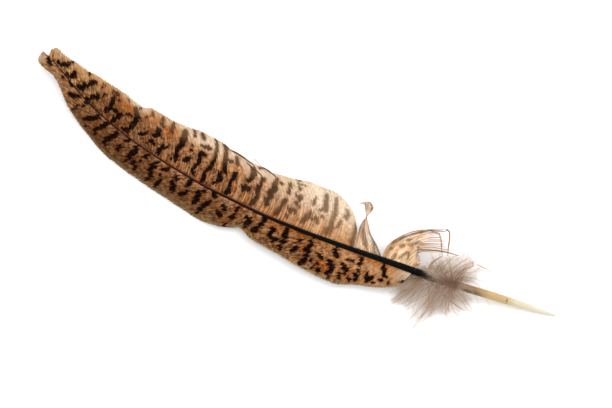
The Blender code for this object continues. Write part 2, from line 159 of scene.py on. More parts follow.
# Dark marks on the broad vane, each one a stroke through points with a station, an offset and half a width
WIDE_MARKS = (
    ((9.3, 1.3, 0.6), (10.8, 2.3, 0.5), (12.6, 3.0, 0.7), (12.0, 4.9, 0.5)),
    ((12.0, 6.5, 0.0), (13.0, 6.6, 0.0)), ((20.4, 9.0, 0.1), (21.4, 8.6, 0.1)),
    ((15.5, 0.6, 0.4), (17.2, 1.2, 0.7), (17.8, 2.8, 0.75), (16.4, 4.3, 0.5)),
    ((22.2, 1.4, 0.5), (24.8, 2.2, 0.8), (23.8, 3.8, 0.8), (25.2, 5.0, 0.5), (24.9, 7.2, 1.1),
     (25.4, 8.2, 0.8)),
    ((28.3, 11.0, 0.15),), ((29.5, 9.2, 0.3),),
    ((29.6, 0.3, 0.7), (30.6, 2.0, 0.7), (30.2, 3.6, 0.5), (32.4, 4.0, 0.4), (31.0, 5.3, 0.5)),
    ((33.0, 6.5, 0.1), (32.8, 9.0, 0.1)),
    ((34.2, 11.4, 0.4), (35.4, 12.3, 0.6), (36.6, 11.9, 0.3)), ((38.6, 10.6, 0.45),),
    ((36.4, 9.8, 0.7), (37.8, 8.2, 0.7), (37.8, 6.8, 0.5), (39.0, 5.2, 0.7), (38.6, 3.2, 0.6),
     (39.6, 2.4, 0.5)),
    ((39.2, 5.4, 0.4), (41.5, 5.8, 0.4), (43.4, 5.6, 0.5)), ((40.6, 14.2, -0.1), (42.0, 13.6, -0.1)),
    ((44.6, 6.4, 0.6), (44.8, 3.8, 0.9), (44.2, 1.2, 0.8), (43.8, -0.8, 0.7)),
    ((46.6, 8.0, 0.4), (48.2, 8.8, 0.35)),
    ((47.2, 12.8, 0.4), (49.6, 10.8, 0.6), (51.4, 9.8, 1.0), (51.8, 7.8, 1.1), (52.6, 5.6, 1.1),
     (52.4, 3.8, 0.8)),
    ((49.8, 1.9, 0.5), (51.5, 2.4, 0.4), (53.0, 1.8, 0.5)), ((48.4, 14.4, 0.3),),
    ((58.2, 4.3, 0.8), (59.0, 5.6, 0.5), (59.6, 7.0, 0.4)), ((54.4, 12.2, 0.3),),
    ((53.4, 16.8, 0.0), (55.0, 15.2, 0.1)), ((59.8, 16.9, 0.4), (61.0, 16.0, 0.35)),
    ((61.0, 14.6, 0.4), (62.6, 14.0, 0.4)),
    ((61.8, 11.6, 0.6), (63.0, 10.4, 1.0), (63.8, 8.6, 0.9), (63.0, 7.2, 0.6)),
    ((62.8, 3.2, 0.4), (64.4, 4.4, 0.6), (65.6, 3.9, 0.6)),
    ((65.2, 18.0, 0.4), (66.6, 15.6, 0.5), (67.8, 13.4, 0.3)),
    ((71.0, 6.8, 0.4), (69.4, 5.4, 0.7), (69.2, 3.6, 0.8), (70.0, 1.6, 0.5)),
    ((71.6, 18.0, 0.6), (73.4, 16.2, 0.8), (74.6, 13.2, 1.1), (75.6, 10.8, 1.2), (75.2, 8.6, 1.0)),
    ((76.0, 6.6, 0.5), (77.0, 5.0, 0.9), (78.0, 3.4, 0.6)), ((76.2, 2.2, 0.4),),
    ((74.5, 21.5, 0.15), (77.6, 18.0, 0.15)),
    ((81.6, 5.0, 0.7), (82.2, 7.4, 0.7)), ((80.4, 11.2, 0.45),), ((79.0, 14.0, 0.25),),
    ((78.6, 21.6, 0.5), (81.0, 19.8, 0.4)),
    ((83.0, 16.0, 0.4), (84.2, 17.0, 0.6), (86.4, 16.8, 0.5)),
    ((84.6, 13.0, 0.6), (86.0, 12.6, 0.9), (85.0, 11.0, 0.5), (86.2, 9.2, 0.6), (86.8, 7.0, 1.0),
     (86.4, 5.6, 0.6)),
    ((86.4, 3.8, 0.4), (88.0, 2.8, 0.4)),
    ((85.0, 22.8, 0.25), (87.4, 20.4, 0.35), (89.8, 16.6, 0.35), (91.6, 12.8, 0.45), (92.0, 10.8, 0.6),
     (92.2, 8.2, 0.8), (91.4, 6.4, 0.3), (92.6, 3.6, 0.9), (93.0, 1.2, 0.4)),
    ((90.2, 22.6, 0.6), (91.8, 21.4, 0.6)),
    ((92.8, 20.0, 0.5), (94.6, 17.6, 0.6), (96.4, 14.6, 0.7), (98.0, 12.0, 0.7), (99.8, 10.0, 0.5)),
    ((96.6, 16.2, 0.9), (98.4, 17.0, 0.7)),
    ((97.4, 9.0, 0.7), (98.4, 7.2, 1.0), (99.6, 5.8, 0.9), (98.6, 4.2, 0.6), (97.6, 3.0, 0.4)),
    ((99.6, 20.0, 0.35), (101.2, 17.6, 0.45), (102.6, 16.0, 0.4)),
    ((103.4, 12.0, 0.9), (103.8, 10.0, 0.5), (103.8, 7.4, 0.4), (104.6, 5.2, 0.5), (105.2, 2.8, 0.9),
     (104.6, 1.2, 0.4)),
    ((108.6, 19.0, 0.5), (109.8, 16.6, 0.9), (110.6, 14.0, 1.0), (109.6, 11.8, 0.6)),
    ((109.6, 7.4, 0.8), (111.4, 8.2, 1.2), (110.4, 6.2, 0.6)), ((110.8, 20.8, 0.5),),
    ((115.0, 16.0, 0.6), (115.4, 13.2, 0.4), (115.6, 9.2, 0.7), (117.0, 6.6, 0.5), (117.0, 3.2, 0.9),
     (116.4, 1.6, 0.5)),
    ((120.0, 18.6, 0.7), (120.6, 15.8, 1.0), (121.8, 13.4, 1.1), (120.8, 10.8, 1.0), (122.4, 9.4, 0.9),
     (121.2, 7.0, 0.9), (122.6, 5.0, 0.8)),
    ((123.8, 17.6, 0.3), (122.8, 18.0, 0.3)),
    ((127.2, 19.4, 0.6), (127.6, 17.8, 0.6), (128.4, 14.8, 0.3)), ((129.6, 23.5, 0.7),),
    ((129.0, 10.0, 0.8), (128.8, 8.0, 0.6), (128.6, 5.4, 0.6), (128.2, 3.0, 0.8)),
    ((130.4, 21.2, 0.3),), ((131.6, 21.6, 0.3),), ((131.4, 19.8, 0.3),), ((132.4, 18.6, 0.6),),
    ((133.6, 21.6, 0.3),),
    ((133.0, 15.2, 0.9), (134.4, 14.4, 0.8)), ((133.6, 11.2, 0.7), (134.8, 10.6, 0.7)),
    ((132.4, 7.4, 0.8), (134.4, 6.8, 0.9)), ((132.6, 4.0, 0.5),),
    ((140.2, 16.6, 0.4), (140.4, 14.2, 0.5)),
    ((141.0, 9.4, 0.6), (141.4, 7.4, 0.8), (140.2, 6.0, 0.8), (139.6, 3.6, 0.6)),
    ((144.2, 20.8, 0.6), (145.0, 18.8, 0.7), (145.6, 16.4, 0.8), (146.6, 13.6, 1.0), (144.8, 11.8, 0.5)),
    ((146.8, 9.0, 0.4),), ((143.4, 7.0, 0.4), (144.8, 7.0, 0.9), (145.6, 5.6, 0.5)),
    ((148.6, 21.6, 0.4), (149.8, 18.4, 0.5), (150.8, 14.8, 0.8), (151.2, 12.8, 0.7), (151.0, 10.0, 0.4),
     (151.8, 7.0, 0.8), (151.0, 4.6, 0.9), (150.6, 3.0, 0.5)),
    ((155.4, 17.0, 0.5), (156.4, 15.4, 0.6), (156.0, 12.8, 0.6)), ((154.6, 9.4, 0.5), (154.4, 7.4, 0.5)),
    ((161.0, 12.8, 0.4), (161.6, 10.2, 0.6), (161.8, 6.4, 0.5), (162.2, 2.6, 0.6)))

# Dark marks on the narrow vane, in the same way; the first stroke is painted shade, the dark hollow where the
# tip curls over
NARROW_MARKS_AND_TIP_SHADE = (
    # painted shade: the first stroke darkens the hollow where the narrow vane's tip curls over
    ((5.0, 0.9, 0.3), (6.4, 1.5, 0.5), (8.2, 1.9, 0.4)), ((15.4, 1.3, 0.5),),
    ((18.6, 0.3, 0.3), (20.6, 0.7, 0.4)),
    ((22.8, 3.6, 0.4), (24.8, 2.9, 0.8), (25.4, 1.8, 0.5), (26.6, 1.2, 0.35)),
    ((30.6, 0.5, 0.9),), ((30.4, 2.6, 0.4),), ((29.0, 4.0, 0.2), (28.6, 6.6, 0.2)),
    ((38.6, 1.2, 0.5), (39.4, 2.0, 0.4), (37.8, 3.2, 0.9), (36.6, 4.4, 0.8), (35.2, 5.8, 0.4)),
    ((37.0, 7.4, 0.3),),
    ((44.0, 0.8, 0.8), (43.8, 2.2, 0.8), (42.8, 4.2, 0.5), (41.6, 5.8, 0.6), (42.6, 7.2, 0.4)),
    ((49.6, 1.6, 0.7), (50.8, 2.4, 0.7), (49.6, 3.8, 0.8), (48.4, 5.6, 0.7), (47.6, 6.6, 0.7),
     (48.4, 7.8, 0.6)),
    ((56.2, 0.8, 0.7), (55.6, 1.9, 0.4)), ((55.0, 4.6, 0.35), (54.2, 5.8, 0.5), (54.4, 6.8, 0.4)),
    ((61.0, 1.4, 0.7), (61.2, 3.2, 1.0), (60.4, 5.4, 1.0), (60.0, 7.0, 0.6)), ((59.4, 8.6, 0.4),),
    ((62.2, 7.2, 0.4), (64.2, 7.4, 0.5), (65.0, 8.4, 0.6)),
    ((67.2, 1.4, 0.5), (66.2, 2.8, 0.6)), ((65.0, 5.4, 0.35),),
    ((72.6, 1.8, 0.5), (71.2, 3.2, 0.6), (72.0, 4.2, 0.8), (70.8, 5.8, 0.5), (72.2, 7.0, 0.7),
     (72.6, 8.2, 0.6), (71.6, 9.4, 0.4)),
    ((78.0, 1.2, 0.5), (77.4, 2.6, 0.5), (75.8, 3.0, 0.35)), ((76.0, 5.4, 0.4),),
    ((77.4, 7.4, 0.6), (76.6, 9.6, 0.4)),
    ((82.2, 2.8, 0.5), (83.8, 3.4, 0.5)), ((82.4, 5.0, 0.5), (84.0, 6.4, 1.0), (83.8, 7.8, 0.7)),
    ((89.4, 0.9, 0.7), (89.8, 2.2, 0.7), (89.0, 3.3, 0.5)),
    ((90.0, 5.4, 0.4), (89.2, 6.6, 0.5), (87.6, 7.6, 0.5)),
    ((94.0, 3.6, 0.5), (95.4, 4.2, 0.8), (94.6, 5.8, 0.6), (95.6, 6.0, 0.6), (94.6, 7.4, 0.6)),
    ((97.0, 2.0, 0.25), (95.4, 2.6, 0.25)), ((100.4, 1.0, 0.6), (101.8, 2.0, 0.7)),
    ((100.8, 4.6, 0.4), (99.6, 5.8, 0.6), (98.6, 7.4, 0.5), (97.6, 8.8, 0.6), (97.4, 9.8, 0.4)),
    ((106.6, 4.0, 0.7), (107.8, 4.8, 0.6)), ((105.4, 6.6, 0.4), (106.8, 7.4, 0.8)),
    ((113.0, 1.6, 0.5), (112.6, 3.2, 0.4)), ((112.4, 5.4, 0.6), (111.6, 6.4, 0.5)), ((110.0, 9.6, 0.4),),
    ((117.8, 3.6, 0.5), (119.2, 4.4, 0.9), (118.6, 6.0, 0.9)),
    ((124.8, 1.2, 0.7), (125.0, 2.6, 0.6), (124.2, 4.2, 0.6), (123.8, 6.2, 0.8), (122.4, 6.8, 0.4)),
    ((129.8, 3.4, 0.4), (131.0, 3.6, 0.6), (130.0, 5.0, 0.4), (129.8, 6.2, 0.6), (131.4, 7.4, 0.6),
     (133.0, 6.8, 0.3)),
    ((136.0, 1.4, 0.5), (135.8, 3.0, 0.8), (135.6, 5.0, 0.8), (136.0, 6.6, 0.6), (135.0, 7.8, 0.6),
     (135.4, 9.4, 0.5)),
    ((142.2, 3.8, 0.4), (141.2, 4.8, 0.4)), ((141.8, 7.2, 0.8), (140.6, 8.4, 0.4)),
    ((146.6, 2.0, 0.5), (147.0, 4.0, 0.7), (146.0, 6.6, 0.8), (146.8, 8.0, 0.7), (146.4, 10.4, 0.7),
     (145.0, 12.0, 0.4)),
    ((151.0, 6.4, 0.4), (153.0, 7.4, 0.4)), ((149.0, 9.6, 0.4),), ((151.4, 10.0, 0.4),),
    ((152.6, 12.2, 0.7),), ((150.4, 11.4, 0.3),), ((157.0, 0.8, 0.6), (157.2, 2.8, 0.7), (158.2, 4.8, 0.7)),
    ((155.6, 7.6, 0.4), (157.0, 8.4, 0.9), (158.0, 10.4, 0.9), (156.8, 12.0, 0.4)), ((158.2, 12.8, 0.4),),
    ((161.4, 7.2, 0.4), (162.8, 8.0, 0.6), (164.8, 8.2, 0.3)), ((164.0, 9.6, 0.5),), ((162.0, 10.6, 0.5),),
    ((165.6, 11.4, 0.5),), ((162.6, 12.0, 0.4),), ((163.4, 4.6, 0.3), (165.0, 4.6, 0.3)),
    ((168.0, 2.2, 0.4), (168.4, 4.4, 0.7)), ((169.0, 6.8, 0.4),), ((168.0, 8.6, 0.4), (168.4, 10.2, 0.7)),
    ((172.2, 7.4, 0.4), (173.2, 9.0, 0.8), (174.8, 8.0, 0.4)),
    ((177.6, 2.0, 0.4), (178.4, 3.4, 0.6), (179.4, 5.0, 0.6), (180.0, 6.2, 0.3)),
    ((178.4, 7.8, 0.5),), ((181.6, 8.0, 0.35),), ((176.0, 9.4, 0.3),), ((186.4, 6.4, 0.3),))
MARK_LOWEST, MARK_HIGHEST = -2.5, 1.5
MARK_SPREAD = 0.38

# Soft patches on the vanes: middle station and offset, half the length and width, and strength. They fade
# between the two shares of that half length and width in PATCH_FADE
PATCH_FADE = (0.35, 1.3)
# On the broad vane, the two large patches along the rim, near stations 85 and 108, are partly painted light
# where the rim faces the lamp; the others are paler barbs
WIDE_PALE_AND_LIT = ((45.5, 15.2, 8.5, 2.8, 0.6), (85, 21.5, 21, 6.5, 0.95), (108, 19.5, 14, 4.5, 0.7),
             (3.6, 4.2, 2.2, 1.8, 0.3))
WIDE_ORANGE = ((42.5, 10.8, 6.5, 2.6, 0.7), (57, 13.5, 3.5, 3.5, 0.5), (67.5, 13.2, 4.5, 4.0, 0.75),
               (105.5, 4.5, 3.5, 3.0, 0.6), (98, 13, 4, 2, 0.4), (127, 2.0, 14, 1.4, 0.3),
               (91.5, 2.0, 3, 2, 0.6), (104, 15.5, 3, 2.5, 0.4), (33, 12.0, 5, 2.0, 0.4))
NARROW_PALE = ((3.1, 2.7, 2.3, 2.2, 0.6), (191, 4.0, 8, 5, 0.8), (107.5, 3.0, 2.0, 1.2, 0.3),
               (180, 9.5, 8, 2.0, 0.2), (163, 3.2, 4, 1.8, 0.1), (173.5, 4.2, 4.2, 2.6, 0.15))
NARROW_ORANGE = ((77.6, 1.2, 1.6, 1.8, 0.8), (113.4, 2.4, 1.4, 2.6, 0.8), (137, 1.2, 12, 2.0, 0.9),
                 (145, 5.6, 3.0, 3.0, 0.8), (154, 9.6, 5, 2.4, 0.6), (165, 10.8, 6, 1.6, 0.5),
                 (174, 2.2, 6, 2.0, 0.5), (90, 0.8, 2, 1, 0.6))

# Single barbs that lie loose along the broad vane's rim: points with a station, an offset and a lift
STRAY_BARBS = (((92.5, 21.6, 0.2), (98.0, 22.0, 0.3), (102.0, 21.7, 0.3), (105.0, 21.0, 0.3),
                (108.0, 20.3, 0.2)),
               ((104.0, 20.1, 0.3), (107.0, 19.2, 0.3), (110.0, 18.4, 0.3), (113.0, 17.4, 0.3),
                (115.8, 15.5, 0.2)),
               ((105.6, 23.8, 0.6), (108.0, 22.9, 0.6), (110.0, 22.0, 0.4), (111.4, 21.0, 0.3)),
               ((110.0, 21.7, 0.3), (114.0, 21.5, 0.3), (117.0, 20.6, 0.3), (119.6, 20.0, 0.2)),
               ((95.0, 22.3, 0.2), (99.0, 22.4, 0.2), (103.5, 21.9, 0.2)))
STRAY_RADII = (0.26, 0.24, 0.12, 0.26, 0.14)
STRAY_MARKS = (0.6, 0.35, 0.0, 0.6, 0.0)
STRAY_LOOK = {"out": 0.9, "shade": 0.4, "pale": 0.3, "orange": 0.3, "web": 0.5, "under": 0.0}
STRAY_SAMPLES = 26
STRAY_TAPER = ((0, 0.3), (0.15, 1), (0.7, 0.9), (1, 0.25))
STRAY_CLEARANCE = 0.1
STRAY_FLATNESS = 0.7

# The stray lock behind the broad vane's notch: pairs of edge points from the shaft to its curled end,
# each one a station, an offset and a height
CURLED_ROWS = (((164.4, 1.2, 8.7), (175.4, 1.4, 7.8)), ((163.9, 5.2, 8.4), (171.8, 5.9, 7.7)),
               ((163.2, 10.7, 8.1), (167.7, 9.9, 7.8)), ((163.6, 13.8, 8.5), (165.6, 13.7, 8.2)),
               ((164.4, 15.6, 9.6), (164.7, 15.8, 8.4)), ((163.3, 17.4, 10.2), (165.5, 18.0, 9.0)),
               ((162.2, 19.2, 11.0), (165.9, 19.8, 10.4)), ((161.1, 19.2, 12.2), (163.5, 21.2, 12.0)),
               ((158.7, 18.8, 12.0), (159.3, 19.1, 12.2)))
CURLED_BARBS, CURLED_SAMPLES = 26, 40

# Its barbs are ribbons: how far they overlap, their largest width and thickness, and how they waver
CURLED_RIBBON = (1.15, 0.5 * MM, 0.06 * MM)
CURLED_WAVE, CURLED_WAVE_SAMPLES = 0.12, 6

# Brown marks on the stray lock, in tenths of its length from the shaft and of its width from its tip side
MARK_TENTHS = 10
CURLED_MARK_SLIP = 0.3
CURLED_MARKS = (((1.3, 4.6, 0.7), (2.2, 3.6, 1.4), (3.3, 3.4, 1.4)), ((2.4, 0.2, 0.5), (4.6, 0.0, 0.8)),
                ((1.2, 9.8, 0.5), (2.6, 9.6, 0.4)), ((0.2, 7.6, 0.6), (0.8, 9.4, 0.8)),
                ((4.4, 8.0, 0.4), (5.0, 9.5, 0.5)), ((6.9, 8.6, 0.6), (7.6, 9.0, 0.6)),
                ((5.8, 1.0, 0.4), (6.6, 0.8, 0.4)))

# The last lock of the broad vane, in the same way: rows of points along some of its barbs, from the first to
# the last, with BASE_BARBS barbs spread over them, and the single barbs that hang loose from it
BASE_ROWS = (((176.2, 1.3, 7.9), (177.0, 7.5, 6.6), (181.0, 13.6, 6.0), (189.0, 19.2, 5.5),
              (198.5, 22.5, 5.2)),
             ((178.5, 1.3, 7.8), (180.5, 8.5, 6.7), (184.5, 13.6, 6.0), (190.0, 17.6, 5.6),
              (195.8, 19.5, 5.2)),
             ((181.0, 1.3, 7.6), (183.5, 7.5, 6.8), (187.0, 12.8, 6.1), (191.4, 16.6, 5.7),
              (195.4, 18.6, 5.4)),
             ((183.0, 1.3, 7.4), (184.6, 6.0, 6.9), (187.0, 10.5, 6.4), (190.8, 13.8, 5.9),
              (199.0, 16.8, 5.4)),
             ((184.2, 1.3, 7.3), (185.5, 5.5, 6.8), (187.5, 9.5, 6.4), (191.4, 12.5, 6.0),
              (199.6, 14.4, 5.3)),
             ((185.6, 1.3, 7.1), (186.3, 5.0, 6.8), (187.8, 8.0, 6.4), (191.2, 10.7, 6.0),
              (203.0, 13.2, 5.0)),
             ((186.8, 1.3, 7.0), (187.6, 3.8, 6.8), (188.6, 6.2, 6.5), (189.4, 7.8, 6.2), (190.0, 9.0, 6.0)),
             ((188.2, 1.3, 6.8), (188.8, 3.0, 6.7), (189.5, 4.6, 6.5), (190.2, 6.0, 6.2), (190.6, 7.0, 6.0)),
             ((189.4, 1.3, 6.7), (189.9, 2.2, 6.6), (190.4, 3.1, 6.5), (190.8, 4.0, 6.3), (191.2, 4.8, 6.1)))
BASE_BARBS, BASE_SAMPLES = 50, 34
BASE_RIBBON = (1.2, 0.55 * MM, 0.07 * MM)
BASE_TAPER = ((0, 1.0), (0.6, 1.0), (0.78, 0.5), (1, 0.25))
BASE_WAVE, BASE_WAVE_SAMPLES = (0.1, 0.25, 0.15), 5
BASE_SPREAD = (0.5, 0.42, 0.2)
BASE_MARKS = (((177.4, 9.2, 0.3), (178.6, 10.4, 0.5)), ((180.2, 11.4, 0.4), (181.7, 13.5, 0.4)),
              ((184.2, 15.7, 0.4), (185.6, 16.4, 0.4)), ((187.4, 17.3, 0.3), (188.4, 17.8, 0.3)),
              ((190.8, 19.3, 0.4), (192.0, 19.8, 0.4)), ((194.2, 20.6, 0.4), (196.0, 21.2, 0.4)),
              ((178.3, 6.3, 0.5),), ((181.6, 8.3, 0.4), (182.8, 9.5, 0.4)),
              ((183.6, 12.2, 0.4), (185.0, 13.1, 0.3)),
              ((185.4, 10.4, 0.5), (187.9, 13.1, 0.5)), ((189.2, 12.3, 0.3), (190.0, 12.9, 0.4)),
              ((188.7, 10.5, 0.3),), ((182.7, 3.0, 0.3), (183.8, 5.1, 0.3), (185.0, 7.0, 0.25)),
              ((186.3, 4.1, 0.2), (185.6, 7.2, 0.2)),
              ((189.4, 6.7, 0.2), (189.3, 9.1, 0.2)), ((180.4, 2.2, 0.5), (180.8, 4.4, 0.4)))
BASE_WISP_RADII = (0.36, 0.3, 0.4)
BASE_WISP_SHADES = (0.2, 0.6, 0.1)
BASE_WISP_SAMPLES = 24
BASE_WISPS = (((197.7, 22.0, 5.5), (199.4, 21.4, 5.5), (200.4, 18.3, 4.5), (200.9, 15.1, 3.5),
               (201.6, 12.0, 2.5)),
              ((191.8, 19.1, 5.6), (195.0, 19.4, 5.6), (196.9, 17.1, 5.0), (198.1, 14.1, 4.0),
               (199.2, 11.6, 3.0)),
              ((189.0, 9.6, 6.6), (191.4, 10.3, 6.4), (196.2, 11.7, 5.9), (200.9, 12.5, 5.4),
               (206.0, 12.6, 5.0)))

# How thick single wisps are along their length, as shares of their radius
WISP_TAPER = ((0, 0.8), (0.1, 1), (0.7, 0.8), (1, 0.3))

# The down: the station and offset that it spreads from, and how far its strands reach past DOWN_HALF, as
# pairs of a direction, in degrees round from the quill's end toward the broad side, and a length
DOWN_CENTRE = (195.4, -4.8)
DOWN_LENGTHS = ((-180, 6), (-140, 13), (-119, 14.5), (-90, 13.5), (-60, 14), (-37, 12), (-5, 15), (13, 22),
                (38, 25.5), (60, 22.5), (81, 18), (100, 11), (125, 8), (180, 6))
DOWN_HALF = (5.0, 4.25)

# How short the shortest tufts and strands are in each direction, as shares of the longest
DOWN_SHORTEST_TUFTS = ((-180, 0.58), (-20, 0.58), (15, 0.86), (75, 0.86), (110, 0.58), (180, 0.58))
DOWN_SHORTEST_STRANDS = ((-180, 0.3), (-20, 0.3), (15, 0.62), (75, 0.62), (110, 0.3), (180, 0.3))

# Each layer of the down: its tufts, strands and hairs on a strand, and the lowest and highest strand's end
DOWN_TUFTS, DOWN_STRANDS, DOWN_HAIRS = 30, 90, 190
DOWN_LOW_ENDS, DOWN_HIGH_ENDS = (0.2, 2.0), (1.0, 6.0)

# How evenly its tufts and strands are spread: in shares of the way to the next tuft, and in degrees
DOWN_TUFT_WANDER = 0.45
DOWN_TUFT_LONGEST = 1.14
DOWN_TUFT_POWER = 0.5
DOWN_STRAND_WANDER = 9

# Where its strands start: the first station, how far the roots spread along the shaft, and how far beside
# its middle line they lie. Some of the high layer's strands start on the far side and cross over the shaft
DOWN_FIRST_ROOT = 193.5
DOWN_ROOTS, DOWN_ROOTS_SPREAD, DOWN_ROOTS_WANDER = 3.4, 7, 1.8
DOWN_OVER_SHAFT, DOWN_OVER_SHAFT_SPREAD = 207.4, 1.8
DOWN_CROSSING = 0.65
DOWN_CROSSING_SIDEWAYS = 0.45
DOWN_ROOT_OFFSET = 1.2
DOWN_ROOT_HEIGHT, DOWN_CROSSING_HEIGHT = -0.3, 1.15

# How its strands curve: sideways as a share of their length, and up at their middle in millimetres, with
# less lift for those that head toward the tip
DOWN_CURVE = 0.22
DOWN_MIDDLE = (-0.5, 1.0)
DOWN_LIFT = (1.5, 5.5)
DOWN_LIFT_HEADING = ((-0.6, 0.1), (0.1, 1.0))
DOWN_CROSSING_LIFT = (3.5, 6.5)
DOWN_SWAY, DOWN_SWAY_SAMPLES = (0.7, 0.7, 0.35), 4
DOWN_LOWEST_STRAND = 0.15
DOWN_SAMPLES = 16
DOWN_RADII = ((0, 0.1), (0.6, 0.065), (1, 0.03))

# The down's hairs: their radius, where they start on a strand, how they crowd, roll and lean, and how long
# they are at its root and how much shorter at its end
HAIR_RADIUS = 0.0095
HAIR_WAIST = 0.8
HAIR_GUIDE = (0.3, 0.2, 1.0)
HAIRS_START, HAIRS_START_CROSSING, HAIRS_END = 0.2, 0.02, 0.98
HAIR_CROWDING = 1.15
HAIR_ROLL = 0.9
HAIR_LEAN = (0.5, 1.1)
HAIR_BEND_OUT, HAIR_BEND_IN = 0.25, 0.3
HAIR_SHORTEST = 0.4
HAIR_LENGTH, HAIR_LENGTH_LOST = 4.6, 2.2
HAIR_TIP_WANDER = 0.25
HAIR_LOWEST_MIDDLE, HAIR_LOWEST_TIP = 0.06, 0.05
HAIR_SHADE_WANDER = 0.15
HAIR_PALER_TIP = 0.2

# The down's thick wisps, each through points with a station, an offset and a height
DOWN_THICK = (((200.0, -2.6, 6.5), (201.8, -4.6, 6.0), (206.8, -7.1, 4.5), (213.8, -9.2, 2.6)),
              ((196.8, -3.0, 6.5), (197.9, -5.8, 6.0), (198.9, -8.6, 5.2), (199.6, -11.0, 4.4)),
              ((187.0, -1.0, 6.0), (189.0, -1.6, 5.8), (192.6, -2.1, 5.2), (196.3, -3.0, 4.6)),
              ((195.0, 1.4, 5.8), (195.4, 2.8, 5.6), (196.1, 6.3, 5.4), (199.3, 10.6, 4.8)),
              ((205.0, 1.4, 5.2), (206.8, 3.1, 5.2), (208.9, 6.9, 5.0), (212.2, 9.3, 4.6), (212.7, 10.8, 4.5),
               (211.2, 11.8, 4.5)),
              ((214.0, 11.6, 3.0), (218.3, 10.8, 2.5), (221.0, 10.2, 2.2), (223.5, 9.8, 2.0)))
DOWN_THICK_RADII = (0.34, 0.26, 0.3, 0.54, 0.34, 0.13)
DOWN_THICK_SHADES = (0.0, 1.0, 0.0, 0.0, 0.2, 0.9)
DOWN_THICK_SAMPLES = 20

# Roughness and specular level of each finish
VANE_FINISH = (0.7, 0.03)
LOCK_FINISH = (0.7, 0.06)
DOWN_FINISH = (0.75, 0.1)
QUILL_FINISH = (0.5, 0.05)
FLOOR_FINISH = (0.9, 0.1)

# Height and strength of each finish's relief
BARB_BUMP = (0.04 * MM, 0.6)
DOWN_BUMP = (0.02 * MM, 0.4)
QUILL_BUMP = (0.06 * MM, 0.6)

# How brown the outer barbs and the ends of the two locks are
CURLED_EDGE, BASE_EDGE = 0.45, 0.75

# The stage, in metres and watts
FLOOR_HALF, FLOOR_DEPTH = 2.0, 0.0001
ROOM_COLOUR = (1.0, 0.995, 0.99, 1.0)
WINDOW_SIZE, WINDOW_POWER = 0.8, 5.0
WINDOW_WAY = (0.35, 0.75, 0.75)

# The camera: where it looks, from what direction in degrees, how far it is, and its lens in millimetres
CAMERA_AZIMUTH = 28.0
CAMERA_ELEVATION = 70.0
CAMERA_DISTANCE = 0.6158
CAMERA_TARGET = (0.010435, 0.008226, 0.0)
CAMERA_LENS = 85.0
CAMERA_NEAREST = 0.01


def read(table, at):
    """Values of a table at one station or an array of them, on a smooth curve through its points."""
    x, y = np.array(table, float).T
    rise = np.diff(y) / np.diff(x)
    before, after = rise[:-1], rise[1:]
    both = before * after > 0
    shared = np.where(both, 2 * before * after / np.where(both, before + after, 1.0), 0.0)
    slope = np.concatenate(([rise[0]], shared, [rise[-1]]))
    i = np.clip(np.searchsorted(x, at, side="right") - 1, 0, len(rise) - 1)
    step = x[i + 1] - x[i]
    t = np.clip((at - x[i]) / step, 0.0, 1.0)
    low = (1 + 2 * t) * (1 - t) ** 2 * y[i] + t * (1 - t) ** 2 * slope[i] * step
    high = t * t * (3 - 2 * t) * y[i + 1] + t * t * (t - 1) * slope[i + 1] * step
    return low + high


def even(table, at):
    """Values of a table at a station or share, on straight lines between its points."""
    x, y = np.array(table, float).T
    return np.interp(at, x, y)


def plan(station, offset):
    """Place on the surface of points at stations and offsets, in millimetres."""
    step = 0.5
    slope = (read(SHAFT_BOW, station + step) - read(SHAFT_BOW, station - step)) / (2 * step)
    along = np.hypot(1.0, slope)
    return station - slope / along * offset, read(SHAFT_BOW, station) + offset / along


def shift_to_frame():
    """The move, in millimetres, from the tables' plane to the frame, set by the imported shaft."""
    tip_corner = plan(SHAFT_START, read(SHAFT_RADIUS, SHAFT_START))
    end_corner = plan(LENGTH, -read(SHAFT_RADIUS, LENGTH))
    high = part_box("shaft")[1] / MM
    return np.array((high.x - end_corner[0], high.y - tip_corner[1], 0.0))


SHIFT = shift_to_frame()


def points(station, offset, height):
    """Points at stations, offsets and heights, in the frame, in metres."""
    x, y = plan(station, offset)
    return (np.stack(np.broadcast_arrays(x, y, height), axis=-1) + SHIFT) * MM


def smooth(low, high, value):
    """0 below the low value, 1 above the high one and a smooth rise between."""
    t = np.clip((value - low) / (high - low), 0.0, 1.0)
    return t * t * (3 - 2 * t)


def ripple(chance, count, spacing):
    """Smooth random values from -1 to 1 along a row of count items, changing every few items."""
    knots = chance.uniform(-1, 1, int(count / spacing) + 3)
    at = np.arange(count) / spacing
    i = at.astype(int)
    part = smooth(0, 1, at - i)
    return knots[i] * (1 - part) + knots[i + 1] * part


def unit(vectors):
    """The vectors with a length of one."""
    nearly_nothing = 1e-12
    return vectors / np.maximum(np.linalg.norm(vectors, axis=-1, keepdims=True), nearly_nothing)


def spline(rows, count):
    """Points on a smooth curve through rows of points."""
    rows = np.array(rows, float)
    padded = np.concatenate((2 * rows[:1] - rows[1:2], rows, 2 * rows[-1:] - rows[-2:-1]))
    at = np.linspace(0, len(rows) - 1, count)
    i = np.minimum(at.astype(int), len(rows) - 2)
    t = (at - i).reshape(-1, *([1] * (rows.ndim - 1)))
    p0, p1, p2, p3 = (padded[i + k] for k in range(4))
    return 0.5 * (2 * p1 + (p2 - p0) * t + (2 * p0 - 5 * p1 + 4 * p2 - p3) * t ** 2
                  + (3 * p1 - p0 - 3 * p2 + p3) * t ** 3)


